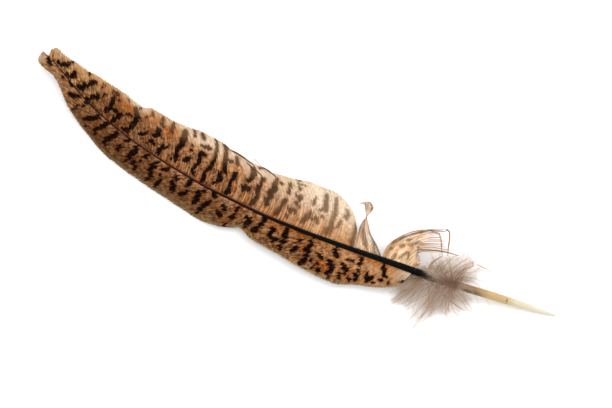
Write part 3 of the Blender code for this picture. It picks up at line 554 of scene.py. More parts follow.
def strand_batch(lines, across, upward, section, tops, values):
    """Closed strands side by side, as corners, faces, texture places and float values.

    lines holds each strand's middle points (strands, samples, 3); across and upward are half its width and
    height there. The section is walked round from its left edge, over its top faces and back below. values
    has one number for each strand, sample or corner under each name.
    """
    strands, samples = lines.shape[:2]
    sides = len(section)
    along = np.gradient(lines, axis=1)
    turned_over = (np.cross(across, along) * upward).sum() < 0
    across = -across if turned_over else across
    sideways, up = np.array(section, float).T[:, :, None]
    corners = lines[:, :, None] + across[:, :, None] * sideways + upward[:, :, None] * up
    index = np.arange(strands * samples * sides).reshape(strands, samples, sides)
    turned = np.roll(index, -1, axis=2)
    walls = np.stack((index[:, :-1], turned[:, :-1], turned[:, 1:], index[:, 1:]), axis=-1).reshape(-1, 4)
    faces = [walls, index[:, 0, ::-1], index[:, -1]]
    size = (strands, samples, sides)
    spread = {label: np.broadcast_to(value, size).ravel() for label, value in values.items()}
    return corners.reshape(-1, 3), faces, strand_map(*size, tops), spread


def strand_map(strands, samples, sides, tops):
    """Texture places with one row for each strand: top faces in the left half, the others in the right."""
    row, sample, side = np.meshgrid(np.arange(strands), np.arange(samples - 1), np.arange(sides),
                                    indexing="ij")
    above = side < tops
    left = np.where(above, STRAND_MAP_START, STRAND_MAP_START + 0.5)
    low = np.where(above, side / tops, (side - tops) / (sides - tops))
    high = np.where(above, (side + 1) / tops, (side + 1 - tops) / (sides - tops))
    near = left + STRAND_MAP_LENGTH * sample / (samples - 1)
    far = left + STRAND_MAP_LENGTH * (sample + 1) / (samples - 1)
    u = np.stack((near, near, far, far), axis=-1)
    inside = STRAND_MAP_GAP + (1 - 2 * STRAND_MAP_GAP) * np.stack((low, high, high, low), axis=-1)
    places = [np.stack((u, (row[..., None] + inside) / strands), axis=-1).reshape(-1, 2)]
    turn = 2 * np.pi * np.arange(sides) / sides
    wide, tall = STRAND_MAP_END_RADII
    for centre, way in STRAND_MAP_ENDS:
        end_u = np.broadcast_to(centre + wide * np.cos(way * turn), (strands, sides))
        end_v = (np.arange(strands)[:, None] + 0.5 + tall * np.sin(way * turn)) / strands
        places.append(np.stack((end_u, end_v), axis=-1).reshape(-1, 2))
    return np.concatenate(places)


def hair_batch(roots, middles, tips, radius, values):
    """Fine three-sided hairs that taper to a point, each with its own cell of the texture map."""
    count, sides = len(roots), 3
    along = unit(tips - roots)
    side = unit(np.cross(along, HAIR_GUIDE))
    other = np.cross(along, side)
    turn = 2 * np.pi * np.arange(sides) / sides
    ring = np.cos(turn)[None, :, None] * side[:, None] + np.sin(turn)[None, :, None] * other[:, None]
    base = roots[:, None] + ring * radius
    waist = middles[:, None] + ring * radius * HAIR_WAIST
    corners = np.concatenate((base, waist, tips[:, None]), axis=1)
    tip = 2 * sides
    first = np.arange(count)[:, None] * (tip + 1)
    pairs = [(k, (k + 1) % sides) for k in range(sides)]
    walls = np.stack([first + np.array((k, after, after + sides, k + sides)) for k, after in pairs], axis=1)
    ends = np.stack([first + np.array((k + sides, after + sides, tip)) for k, after in pairs], axis=1)
    faces = [walls.reshape(-1, 4), ends.reshape(-1, 3), first + np.array((2, 1, 0))]
    weights = np.repeat((0.0, 0.5, 1.0), (sides, sides, 1))
    spread = {}
    for label, value in values.items():
        low, high = (np.asarray(v, float).reshape(-1, 1) * np.ones((count, 1)) for v in value)
        spread[label] = (low + (high - low) * weights).ravel()
    return corners.reshape(-1, 3), faces, hair_map(count, sides), spread


def hair_map(count, sides):
    """Texture places of hairs: the walls, the faces round the tip and the root, in a cell for each hair."""
    cells = math.ceil(math.sqrt(count))
    corner = np.stack((np.arange(count) % cells, np.arange(count) // cells), axis=-1)[:, None] / cells
    k = np.arange(sides)[:, None]
    wall_u = np.array((0.0, 0.0, HAIR_MAP_WAIST, HAIR_MAP_WAIST)) * np.ones((sides, 1))
    wall_v = np.concatenate((k, k + 1, k + 1, k), axis=1) * HAIR_MAP_ROW
    end_u = np.array((HAIR_MAP_WAIST, HAIR_MAP_WAIST, HAIR_MAP_TIP)) * np.ones((sides, 1))
    end_v = np.concatenate((k, k + 1, k + 0.5), axis=1) * HAIR_MAP_ROW
    places = []
    for u, v in ((wall_u, wall_v), (end_u, end_v), np.array(HAIR_MAP_ROOT)):
        inside = np.stack((u.ravel(), v.ravel()), axis=-1) * HAIR_MAP_FILL + HAIR_MAP_MARGIN
        places.append((corner + inside[None] / cells).reshape(-1, 2))
    return np.concatenate(places)


def joined_mesh(name, *batches):
    """One mesh of several batches, whose texture maps stand one above the other."""
    corners, faces, places, values = [], [], [], {}
    first, heights = 0, [len(batch[2]) for batch in batches]
    low = 0.0
    for batch, height in zip(batches, heights):
        share = height / sum(heights)
        corners.append(batch[0])
        faces += [(group + first).tolist() for group in batch[1]]
        places.append(batch[2] * (1.0, share) + (0.0, low))
        for label, value in batch[3].items():
            values.setdefault(label, []).append(value)
        first += len(batch[0])
        low += share
    mesh = bpy.data.meshes.new(name)
    mesh.from_pydata(np.concatenate(corners).tolist(), [], [face for group in faces for face in group])
    mesh.shade_smooth()
    for label, value in values.items():
        attribute = mesh.attributes.new(label, "FLOAT", "POINT")
        attribute.data.foreach_set("value", np.concatenate(value).astype(np.float32))
    layer = mesh.uv_layers.new(name="OFBake")
    layer.uv.foreach_set("vector", np.concatenate(places).astype(np.float32).ravel())
    return mesh


def add_piece(name, mesh, material, replaced):
    """A piece that rides on the feather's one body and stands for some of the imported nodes."""
    piece = bpy.data.objects.new(name, mesh)
    bpy.context.scene.collection.objects.link(piece)
    mesh.materials.append(material)
    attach(piece, "root")
    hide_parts(*replaced)
    return piece


class NodeTree:
    """Short ways to add nodes to a material and join them up."""

    def __init__(self, name):
        self.material = bpy.data.materials.new(name)
        self.material.use_nodes = True
        self.nodes = self.material.node_tree.nodes
        self.links = self.material.node_tree.links
        self.shader = self.nodes["Principled BSDF"]

    def join(self, value, socket):
        """Sets a socket to a number or colour, or links it to another node's output."""
        if isinstance(value, bpy.types.NodeSocket):
            self.links.new(value, socket)
        else:
            socket.default_value = value

    def attribute(self, name):
        """A float attribute of the mesh."""
        node = self.nodes.new("ShaderNodeAttribute")
        node.attribute_name = name
        return node.outputs["Fac"]

    def math(self, operation, *values, clamp=False):
        """One math node."""
        node = self.nodes.new("ShaderNodeMath")
        node.operation = operation
        node.use_clamp = clamp
        for value, socket in zip(values, node.inputs):
            self.join(value, socket)
        return node.outputs[0]

    def product(self, *values):
        """Several numbers multiplied by one another in turn."""
        result = values[0]
        for value in values[1:]:
            result = self.math("MULTIPLY", result, value)
        return result

    def span(self, value, low, high, to_low=0.0, to_high=1.0):
        """A smooth change from one value to another while the input goes from low to high."""
        node = self.nodes.new("ShaderNodeMapRange")
        node.interpolation_type = "SMOOTHSTEP"
        for number, socket in zip((value, low, high, to_low, to_high), node.inputs):
            self.join(number, socket)
        return node.outputs[0]

    def noise(self, x, y, z, scale=1.0, detail=2.0, roughness=0.5):
        """Noise at a place made of three numbers, around 0.5."""
        place = self.nodes.new("ShaderNodeCombineXYZ")
        for value, socket in zip((x, y, z), place.inputs):
            self.join(value, socket)
        node = self.nodes.new("ShaderNodeTexNoise")
        node.inputs["Scale"].default_value = scale
        node.inputs["Detail"].default_value = detail
        node.inputs["Roughness"].default_value = roughness
        self.links.new(place.outputs[0], node.inputs["Vector"])
        return node.outputs["Fac"]

    def mix(self, share, first, second, blend="MIX"):
        """Two colours mixed by a share."""
        node = self.nodes.new("ShaderNodeMix")
        node.data_type = "RGBA"
        node.blend_type = blend
        for value, socket in zip((share, first, second), (node.inputs[0], node.inputs[6], node.inputs[7])):
            self.join(value if not isinstance(value, tuple) else (*value, 1.0), socket)
        return node.outputs[2]

    def ramp(self, share, stops):
        """A colour read from a row of colours by a share from 0 to 1."""
        node = self.nodes.new("ShaderNodeValToRGB")
        elements = node.color_ramp.elements
        while len(elements) < len(stops):
            elements.new(0.5)
        for element, (place, colour) in zip(elements, stops):
            element.position = place
            element.color = (*colour, 1.0)
        self.links.new(share, node.inputs[0])
        return node.outputs[0]

    def scaled(self, colour, factor):
        """A colour made lighter or darker by a number."""
        node = self.nodes.new("ShaderNodeVectorMath")
        node.operation = "SCALE"
        self.join(colour, node.inputs[0])
        self.join(factor, node.inputs["Scale"])
        return node.outputs[0]

    def bump(self, height, distance, strength=1.0):
        """Relief from a height, on the shader's own normal."""
        node = self.nodes.new("ShaderNodeBump")
        node.inputs["Distance"].default_value = distance
        node.inputs["Strength"].default_value = strength
        self.links.new(height, node.inputs["Height"])
        self.links.new(node.outputs[0], self.shader.inputs["Normal"])

    def finish(self, roughness, specular):
        """The even values of the finish, set on the shader itself."""
        self.shader.inputs["Roughness"].default_value = roughness
        self.shader.inputs["Specular IOR Level"].default_value = specular
        return self.material


# Colours are given as they look in the stage's light, which is a little stronger than white, from 0 to 255
# on the usual screen curve: straight in its foot, then a power
COLOUR_IN_LIGHT = 0.8
CURVE_TOP, CURVE_FOOT, CURVE_FOOT_SLOPE, CURVE_OFFSET, CURVE_POWER = 255, 10, 12.92, 0.055, 2.4


def linear(*colour):
    """The surface colour that looks like a screen colour in the stage's light."""
    levels = (((v / CURVE_TOP + CURVE_OFFSET) / (1 + CURVE_OFFSET)) ** CURVE_POWER if v > CURVE_FOOT
              else v / CURVE_TOP / CURVE_FOOT_SLOPE for v in colour)
    return tuple(level * COLOUR_IN_LIGHT for level in levels)


# Colours of the barbs at offsets from the shaft out, from 0 to OFFSET_SPAN, near the tip and near the base
OFFSET_SPAN = 25.0
WIDE_TIP_GROUND = ((0.0, linear(160, 102, 60)), (0.18, linear(164, 110, 66)), (0.36, linear(178, 124, 80)),
                   (0.54, linear(202, 152, 106)), (0.76, linear(220, 178, 134)), (0.9, linear(228, 196, 158)))
WIDE_BASE_GROUND = ((0.0, linear(196, 136, 84)), (0.16, linear(206, 156, 110)),
                    (0.34, linear(226, 186, 148)), (0.54, linear(240, 212, 182)),
                    (0.76, linear(236, 214, 186)), (0.95, linear(236, 214, 188)))
NARROW_TIP_GROUND = ((0.0, linear(200, 144, 102)), (0.12, linear(174, 120, 78)), (0.24, linear(154, 104, 64)),
                     (0.36, linear(146, 104, 66)), (0.48, linear(150, 114, 78)))
NARROW_BASE_GROUND = ((0.0, linear(180, 114, 62)), (0.12, linear(202, 142, 90)),
                      (0.24, linear(208, 150, 100)), (0.36, linear(190, 134, 86)),
                      (0.52, linear(182, 132, 86)))
TIPMOST = linear(222, 170, 114)
CREAM = linear(230, 204, 176)
RIM = linear(150, 120, 80)
RIM_PALE = linear(204, 168, 116)
BRIGHT_BARB = linear(242, 206, 164)
RUST = linear(116, 58, 18)
ORANGE = linear(190, 104, 38)
UMBER = linear(64, 32, 10)
MARK_BLACK = linear(8, 2, 1)
MARK_BROWN = linear(108, 78, 52)
UNDERSIDE = linear(212, 186, 146)
QUILL_COLOURS = ((0.0, linear(34, 14, 7)), (0.08, linear(14, 5, 3)), (0.3, linear(9, 4, 2)),
                 (0.44, linear(8, 4, 3)), (0.52, linear(3, 2, 2)), (0.795, linear(4, 3, 3)),
                 (0.815, linear(60, 46, 36)), (0.835, linear(116, 96, 72)), (0.865, linear(150, 126, 86)),
                 (0.89, linear(192, 162, 114)), (0.912, linear(196, 170, 126)), (0.93, linear(214, 202, 174)),
                 (1.0, linear(220, 214, 198)))
# Colour of the quill's darker streak along its lower side and of its small nick
QUILL_DARKER = linear(92, 72, 48)
RACHIS_BROWN = linear(112, 52, 20)
DOWN_DARK = linear(146, 112, 82)
DOWN_PALE = linear(238, 214, 192)
DOWN_STEM = linear(156, 108, 70)
LOCK_PALE = linear(248, 218, 182)
LOCK_TAN = linear(212, 164, 116)
LOCK_BROWN = linear(162, 110, 64)
LOCK_MARK = linear(112, 86, 62)

# Noise in the colours: how fast it changes along a barb or the feather, how far apart it lies on barbs of
# unlike shades, and how deep in it each use lies
STREAK_PACE, MOTTLE_PACE, MOTTLE_LENGTH_PACE, ROUGH_PACE, BLOT_PACE = 0.3, 0.4, 0.5, 0.9, 0.6
LOCK_STREAK_PACE, DOWN_PATCH_PACE = 0.4, 0.4
VANE_BARBS_APART, LOCK_BARBS_APART, DOWN_STRANDS_APART = 61.0, 47.0, 31.0
ROUGH_LAYER, MOTTLE_LAYER, BLOT_LAYER = 5.0, 7.0, 11.0

# Ranges of stations over which the vanes' colours change; where a range has four numbers, the last two are
# the values at its ends, which are otherwise 0 and 1
BASE_GROUND_AT = (100.0, 158.0)
TIPMOST_AT = (44.0, 16.0)
DUSK_FROM, DUSK_TO = (20.0, 34.0), (78.0, 62.0, 0.0, 0.08)
WIDE_CALM_AT, NARROW_CALM_AT = (100.0, 150.0, 1.0, 0.45), (140.0, 185.0, 0.82, 0.45)
ROLLED_FROM, ROLLED_TO = (112.0, 120.0), (158.0, 140.0, 0.0, 0.8)
LINED_FROM, LINED_FAINTLY_FROM, LINED_TO = (98.0, 112.0), (46.0, 60.0, 0.0, 0.5), (162.0, 146.0)
WIDE_SPOTS_FROM, WIDE_SPOTS_TO = (22.0, 32.0), (128.0, 100.0, 0.0, 0.8)
NARROW_SPOTS_FROM, NARROW_SPOTS_TO = (80.0, 125.0), (188.0, 166.0, 0.2, 0.9)
NARROW_INNER_SPOTS_FROM = (26.0, 36.0, 0.0, 0.55)
PALE_RIM_MARKS_FROM = (14.0, 62.0, 0.0, 0.9)

# Ranges of the share of the way out on a vane, in the same way; LINED_OFFSETS are shares of OFFSET_SPAN
WIDE_CALM_OUT = (0.25, 0.95, 0.86, 0.22)
WIDE_HALO_OUT = (0.1, 0.6, 1.0, 0.3)
RIM_OUT, ROLLED_OUT = (0.84, 1.0), (0.93, 0.99)
LINED_OFFSETS = (0.4, 0.26)
WIDE_SPOTS_OUT, NARROW_SPOTS_OUT, NARROW_INNER_SPOTS_OUT = (0.8, 0.4), (0.45, 0.7), (1.0, 0.8)
PALE_MARKS_OUT, PALE_RIM_MARKS_OUT = (0.0, 0.35, 0.62, 1.0), (0.5, 0.85)

# Ranges of noise, of marks' depth and of the barbs' section, in the same way
ORANGE_STREAKS, HALO_STREAKS = (0.36, 0.58, 0.3, 1.5), (0.35, 0.65, 0.3, 0.85)
DARK_GRAIN = (0.88, 1.12)
DASHES, DASHED_MOTTLE = (0.56, 0.62), (0.45, 0.52)
FADED_INK = (0.3, 0.55, 0.88, 1.0)
HALO_DEPTH = (-1.3, 0.2)
BRIGHT_SHADES = (0.35, 0.6)
LINED_WEB = (0.2, 0.8)

# Strengths: how much tip colour and rim colour each vane takes, and how much dark grain the pale patches
# lose, which along the broad vane's rim are partly painted light
WIDE_TIPMOST, NARROW_TIPMOST = 0.8, 0.4
WIDE_RIM, NARROW_RIM = 0.3, 0.7
PALE_CALM = -0.75
MOTTLE_GRAIN, STREAK_GRAIN = 0.8, 1.2
UNDERSIDE_SHARE = 0.75

# Lightness of the barbs: the part of their shade, then the part of the streaks and what is added, and the
# part of the section with what is added
WIDE_TONE, NARROW_TONE = (0.32, 1.2, 0.23), (0.4, 1.7, -0.03)
RIDGE_TONE = (-0.2, 1.1)

# The bright lines on the broad vane's inner barbs: dots along them and their strength
DOT_PACE, DOT_TONE = 8.4, (0.2, 0.42)
LINED_STRENGTH = 1.3

# The marks' edges: how rough they are, how soft toward the base, and how strong the ink is there
INK_EDGE = (-0.25, 0.2)
WIDE_ROUGH_MIDDLE, WIDE_ROUGH_SIZE = 0.49, (0.9, 1.2)
NARROW_ROUGH = (1.2, -0.58)
WIDE_BASE_SOFTNESS = 0.55
WIDE_BASE_INK = (-0.2, 1.0)
WIDE_BASE_SPOTS = 0.5

# Relief of the barbules across and along a barb
BARBULES_ACROSS, BARBULES_ALONG, BARBULES_HEIGHT = 7.0, 26.0, 0.3

# The locks: ranges of streaks, of the way across and out, and of marks' depth, and lightness
TAN_STREAKS = (0.35, 0.65)
LOCK_SIDES, LOCK_ENDS = (0.34, 0.5), (0.6, 0.95)
LOCK_TONE = (0.64, 0.72)
LOCK_ROUGH = (1.6, -0.8)
LOCK_INK = (-0.3, 0.5, 0.0, 0.75)

# The down: how pale its strands are by their shade and toward their ends, their stems and their patches
DOWN_SHADE_TONE = (0.55, -0.15)
DOWN_PALE_OUT = (0.05, 0.6, 0.0, 0.95)
DOWN_STEM_SHARE = 0.7
DOWN_TONE = (0.4, 0.8)

# The quill: noise along and round it, how its colours waver, lightness, and the brown light on the rachis
WOBBLE_PACE, WOBBLE = 0.12, (10.0, -5.0)
GRAIN_PACE, GRAIN_ROUND, GRAIN_LAYER, GRAIN_TONE = 0.15, 7.0, 2.0, (0.5, 0.75)
FIBRE_PACE, FIBRE_ROUND, FIBRE_LAYER, FIBRE_TONE = 0.04, 9.0, 5.0, (0.4, 0.8)
FIBRE_HEIGHT = 0.8
LIT_FROM, LIT_TO, LIT_ROUND = (25.0, 60.0), (142.0, 112.0), (0.0, 0.6, 0.0, 0.8)

# Darker places on the quill: a streak along its lower side, turned away from the lamp, and a small nick
LOWER_STREAK_ROUND, LOWER_STREAK_FROM, LOWER_STREAK_TO = (-0.1, -0.75), (204.0, 209.0), (221.0, 215.0, 0.0, 0.8)
NICK_STATION, NICK_ROUND, NICK_STRENGTH = 229.2, 0.3, 0.7
NICK_LONG, NICK_WIDE, NICK_TOP = (0.55, 0.1), (0.6, 0.3), (0.0, 0.3)


def mark_depth(marks, station, offset):
    """How far inside the nearest mark a place is, in millimetres; negative outside all of them."""
    depth = np.full(np.shape(station), MARK_LOWEST)
    for stroke in marks:
        for near, far in zip(stroke, stroke[1:] or stroke):
            run = (far[0] - near[0], far[1] - near[1])
            square = run[0] ** 2 + run[1] ** 2 or 1.0
            t = np.clip(((station - near[0]) * run[0] + (offset - near[1]) * run[1]) / square, 0, 1)
            gap = np.hypot(station - near[0] - run[0] * t, offset - near[1] - run[1] * t)
            depth = np.maximum(depth, near[2] + (far[2] - near[2]) * t - gap)
    return np.minimum(depth + MARK_SPREAD, MARK_HIGHEST)


def patch_share(patches, station, offset):
    """How strongly soft round patches cover a place, from 0 to 1."""
    share = np.zeros(np.shape(station))
    for at_station, at_offset, half_length, half_width, strength in patches:
        distance = np.hypot((station - at_station) / half_length, (offset - at_offset) / half_width)
        share = np.maximum(share, strength * (1 - smooth(*PATCH_FADE, distance)))
    return share


class Vane:
    """One vane: the tables that shape it, and places on it."""

    def __init__(self, side, edge, edge_height, sweep, bend, ragged, marks, pale, orange):
        self.side = side
        self.edge = edge
        self.edge_height = edge_height
        self.sweep = sweep
        self.bend = bend
        self.ragged = ragged
        self.marks = marks
        self.pale = pale
        self.orange = orange

    def path(self, root, share, reach):
        """Stations and offsets along the barbs that start at these root stations."""
        tip = root - read(self.sweep, root)
        far = read(self.edge, tip) + reach
        near = read(SHAFT_RADIUS, root) * ROOT_BESIDE_SHAFT * smooth(*ROOTS_PART, root)
        middle = (root + (tip - root) * read(self.bend, root), near + (far - near) * BEND_REACH)
        start, bend, end = (1 - share) ** 2, 2 * share * (1 - share), share ** 2
        return root * start + middle[0] * bend + tip * end, near * start + middle[1] * bend + far * end

    def share_out(self, station, offset):
        """How far out a place is: 0 beside the shaft and 1 at the vane's edge."""
        near = read(SHAFT_RADIUS, station)
        width = np.maximum(read(self.edge, station) - near, NARROWEST_VANE)
        return np.clip((offset - near) / width, 0.0, SHARE_PAST_EDGE)

    def height(self, station, offset):
        """Height of the arched vane."""
        crown = read(SHAFT_HEIGHT, station) + CROWN_ON_SHAFT * read(SHAFT_RADIUS, station)
        fall = self.share_out(station, offset) ** ARCH_POWER
        return crown + (read(self.edge_height, station) - crown) * fall

    def places(self, root, share, reach, lift=0.0):
        """Points on the barbs, in the frame."""
        station, offset = self.path(root, share, reach)
        return points(station, self.side * offset, self.height(station, offset) + lift)


def vane_mesh(name, vane, roots, spacing, seed):
    """All the barbs of one vane, each a flat ribbon with a raised midline that overlaps the next."""
    chance = np.random.default_rng(seed)
    count = int((roots[1] - roots[0]) / spacing) + 1
    root = np.linspace(*roots, count)[:, None]
    share = np.linspace(0, 1, BARB_SAMPLES)[None, :] ** BARB_CROWDING
    step = (roots[1] - roots[0]) / (count - 1)
    sway = ripple(chance, count, SWAY_CLUMP) * SWAY_OF_CLUMPS
    sway = (sway + chance.uniform(-SWAY_OF_BARBS, SWAY_OF_BARBS, count))[:, None] * step
    reach = ripple(chance, count, REACH_CLUMP) * REACH_OF_CLUMPS
    reach = (reach + chance.uniform(*REACH_OF_BARBS, count))[:, None] * read(vane.ragged, root)
    lift = ripple(chance, count, LIFT_CLUMP) * LIFT_OF_CLUMPS
    lift = (lift + chance.uniform(-LIFT_OF_BARBS, LIFT_OF_BARBS, count))[:, None] * share
    moved = root + sway * share
    lines = vane.places(moved, share, reach, lift)
    lines[..., 2] = np.maximum(lines[..., 2], LOWEST_BARB * MM)
    calm = vane.places(root, share, 0.0)
    surface = unit(np.cross(np.gradient(calm, axis=1), np.gradient(calm, axis=0)))
    surface *= np.sign(surface[..., 2:])
    across, _ = ribbons(lines, BARB_OVERLAP, BARB_WIDEST * MM, MM)
    across = across - surface * (across * surface).sum(-1, keepdims=True) * BARB_FLATNESS
    across = across * even(BARB_TAPER, share)[..., None]
    normal = unit(np.cross(np.gradient(lines, axis=1), across))
    normal *= np.sign(normal[..., 2:])
    across = across + normal * BARB_TILT * MM * vane.side
    width = np.linalg.norm(across, axis=-1, keepdims=True)
    upward = normal * np.minimum(BARB_THICKNESS * MM, width / 2)
    station, offset = vane.path(moved, share, reach)
    run = run_along(lines)
    slide = ripple(chance, count, SLIP_CLUMP) * SLIP_OF_CLUMPS + chance.normal(0, SLIP_OF_BARBS, count)
    slid_share = np.clip(share + slide[:, None] / run[:, -1:], 0, 1)
    sideways, up = np.array(BARB_SECTION, float).T
    values = {
        "station": station[..., None],
        "offset": offset[..., None],
        "out": vane.share_out(station, offset)[..., None],
        "run": run[..., None],
        "shade": chance.uniform(0, 1, (count, 1, 1)),
        "mark": mark_depth(vane.marks, *vane.path(moved, slid_share, reach))[..., None],
        "pale": patch_share(vane.pale, station, offset)[..., None],
        "orange": patch_share(vane.orange, station, offset)[..., None],
        "web": np.abs(sideways),
        "under": up < 0,
    }
    batches = [strand_batch(lines, across, upward, BARB_SECTION, BARB_SECTION_TOPS, values)]
    if vane.side > 0:
        batches.append(stray_barbs(vane))
    return joined_mesh(name, *batches)


def free_strands(lines, size, values, flatness=1.0):
    """Strands with a lozenge for their section, half as wide at each of their points as the size there."""
    along, across = ways(lines)
    return strand_batch(lines, across * size, np.cross(across, along) * size * flatness, STRAND_SECTION,
                        STRAND_SECTION_TOPS, values)


def ways(lines):
    """The directions along strands and level across them."""
    along = unit(np.gradient(lines, axis=1))
    return along, unit(np.cross(along, (0, 0, 1)))


def stray_barbs(vane):
    """The single barbs that lie loose on the vane's rim."""
    paths = np.stack([spline(path, STRAY_SAMPLES) for path in STRAY_BARBS])
    station, offset, lift = paths.transpose(2, 0, 1)
    radii = np.array(STRAY_RADII)[:, None]
    height = np.maximum(vane.height(station, offset) + lift, radii + STRAY_CLEARANCE)
    lines = points(station, offset, height)
    size = (radii * even(STRAY_TAPER, np.linspace(0, 1, STRAY_SAMPLES)))[..., None] * MM
    values = {"station": station[..., None], "offset": offset[..., None], "run": run_along(lines)[..., None],
              "mark": np.array(STRAY_MARKS)[:, None, None], **STRAY_LOOK}
    return free_strands(lines, size, values, STRAY_FLATNESS)


def ribbons(lines, gap_share, widest, thickness):
    """Half widths and half heights of ribbons that lie side by side along the first axis of the lines."""
    across = np.gradient(lines, axis=0) / 2 * gap_share
    along = np.gradient(lines, axis=1)
    across = across - unit(along) * (across * unit(along)).sum(-1, keepdims=True)
    width = np.linalg.norm(across, axis=-1, keepdims=True)
    across = unit(across) * np.minimum(width, widest)
    normal = unit(np.cross(along, across))
    normal *= np.where(normal[..., 2:] < 0, -1, 1)
    width = np.linalg.norm(across, axis=-1, keepdims=True)
    return across, normal * np.minimum(thickness, width / 2)


def run_along(lines):
    """Distance along each strand in millimetres."""
    steps = np.linalg.norm(np.diff(lines, axis=1), axis=-1)
    return np.concatenate((np.zeros((len(lines), 1)), np.cumsum(steps, axis=1)), axis=1) / MM


def wisps(paths, samples, radii, shades):
    """Single thin strands through rows of points, each a station, an offset and a height."""
    lines = np.stack([points(*spline(path, samples).T) for path in paths])
    share = np.linspace(0, 1, samples)
    size = (np.array(radii)[:, None] * even(WISP_TAPER, share))[..., None] * MM
    values = {"run": run_along(lines)[..., None], "shade": np.array(shades)[:, None, None],
              "out": share[:, None]}
    return free_strands(lines, size, values)


def curled_lock_mesh():
    """The stray lock's barbs, drawn together at the waist and curled over at the end."""
    chance = np.random.default_rng(SEED + 2)
    rows = spline(CURLED_ROWS, CURLED_SAMPLES)
    side = np.linspace(0, 1, CURLED_BARBS)[:, None, None]
    path = rows[None, :, 0] * (1 - side) + rows[None, :, 1] * side
    wave = np.stack([ripple(chance, CURLED_SAMPLES, CURLED_WAVE_SAMPLES) for _ in range(CURLED_BARBS)])
    lines = points(*(path + wave[..., None] * CURLED_WAVE).transpose(2, 0, 1))
    out = np.linspace(0, 1, CURLED_SAMPLES)[None, :, None]
    slide = chance.normal(0, CURLED_MARK_SLIP, (CURLED_BARBS, 1))
    depth = mark_depth(CURLED_MARKS, out[..., 0] * MARK_TENTHS + slide, side[..., 0] * MARK_TENTHS)
    values = {"run": run_along(lines)[..., None], "shade": chance.uniform(0, 1, (CURLED_BARBS, 1, 1)),
              "out": out, "side": side, "mark": depth[..., None]}
    barbs = strand_batch(lines, *ribbons(lines, *CURLED_RIBBON), BARB_SECTION, BARB_SECTION_TOPS, values)
    return joined_mesh("curled_lock_barbs", barbs)


def base_lock_mesh():
    """The last lock's barbs, which fan toward the quill and come apart, with the wisps that hang loose."""
    chance = np.random.default_rng(SEED + 3)
    path = np.stack([spline(row, BASE_SAMPLES) for row in spline(BASE_ROWS, BASE_BARBS)])
    share = np.linspace(0, 1, BASE_SAMPLES)[None, :, None]
    wave = np.stack([ripple(chance, BASE_SAMPLES, BASE_WAVE_SAMPLES) for _ in range(BASE_BARBS)])[..., None]
    path = path + wave * share * np.array(BASE_WAVE)
    path = path + chance.normal(0, 1, (BASE_BARBS, 1, 3)) * share ** 2 * np.array(BASE_SPREAD)
    lines = points(*path.transpose(2, 0, 1))
    across, upward = ribbons(lines, *BASE_RIBBON)
    thin = even(BASE_TAPER, share)
    values = {"run": run_along(lines)[..., None], "shade": chance.uniform(0, 1, (BASE_BARBS, 1, 1)),
              "out": share, "side": np.linspace(0, 1, BASE_BARBS)[:, None, None],
              "mark": mark_depth(BASE_MARKS, path[..., 0], path[..., 1])[..., None]}
    fan = strand_batch(lines, across * thin, upward * thin, BARB_SECTION, BARB_SECTION_TOPS, values)
    loose = wisps(BASE_WISPS, BASE_WISP_SAMPLES, BASE_WISP_RADII, BASE_WISP_SHADES)
    loose[3]["side"] = np.zeros(len(loose[0]))
    loose[3]["mark"] = np.full(len(loose[0]), MARK_LOWEST)
    return joined_mesh("base_lock_barbs", fan, loose)


def lock_material(name, edge_share, settings):
    """Cream and tan barbs with soft brown marks, browner along the lock's outer barbs and at their ends."""
    tree = NodeTree(name)
    run, shade, side = tree.attribute("run"), tree.attribute("shade"), tree.attribute("side")
    barb = tree.math("MULTIPLY", shade, LOCK_BARBS_APART)
    streak = tree.noise(tree.math("MULTIPLY", run, LOCK_STREAK_PACE), barb, 0.0, detail=3.0)
    colour = tree.mix(tree.span(streak, *TAN_STREAKS), tuple(settings.lock_colour), LOCK_TAN)
    aside = tree.math("ABSOLUTE", tree.math("SUBTRACT", side, 0.5))
    colour = tree.mix(tree.span(aside, *LOCK_SIDES, 0.0, edge_share), colour, LOCK_BROWN)
    ends = tree.span(tree.attribute("out"), *LOCK_ENDS, 0.0, edge_share)
    colour = tree.mix(ends, colour, LOCK_BROWN)
    colour = tree.scaled(colour, tree.math("MULTIPLY_ADD", shade, *LOCK_TONE))
    rough = tree.noise(tree.math("MULTIPLY", run, ROUGH_PACE), barb, ROUGH_LAYER)
    depth = tree.attribute("mark")
    level = tree.math("ADD", depth, tree.math("MULTIPLY_ADD", rough, *LOCK_ROUGH))
    colour = tree.mix(tree.span(level, *LOCK_INK), colour, LOCK_MARK)
    tree.join(colour, tree.shader.inputs["Base Color"])
    tree.bump(streak, *BARB_BUMP)
    return tree.finish(*LOCK_FINISH)


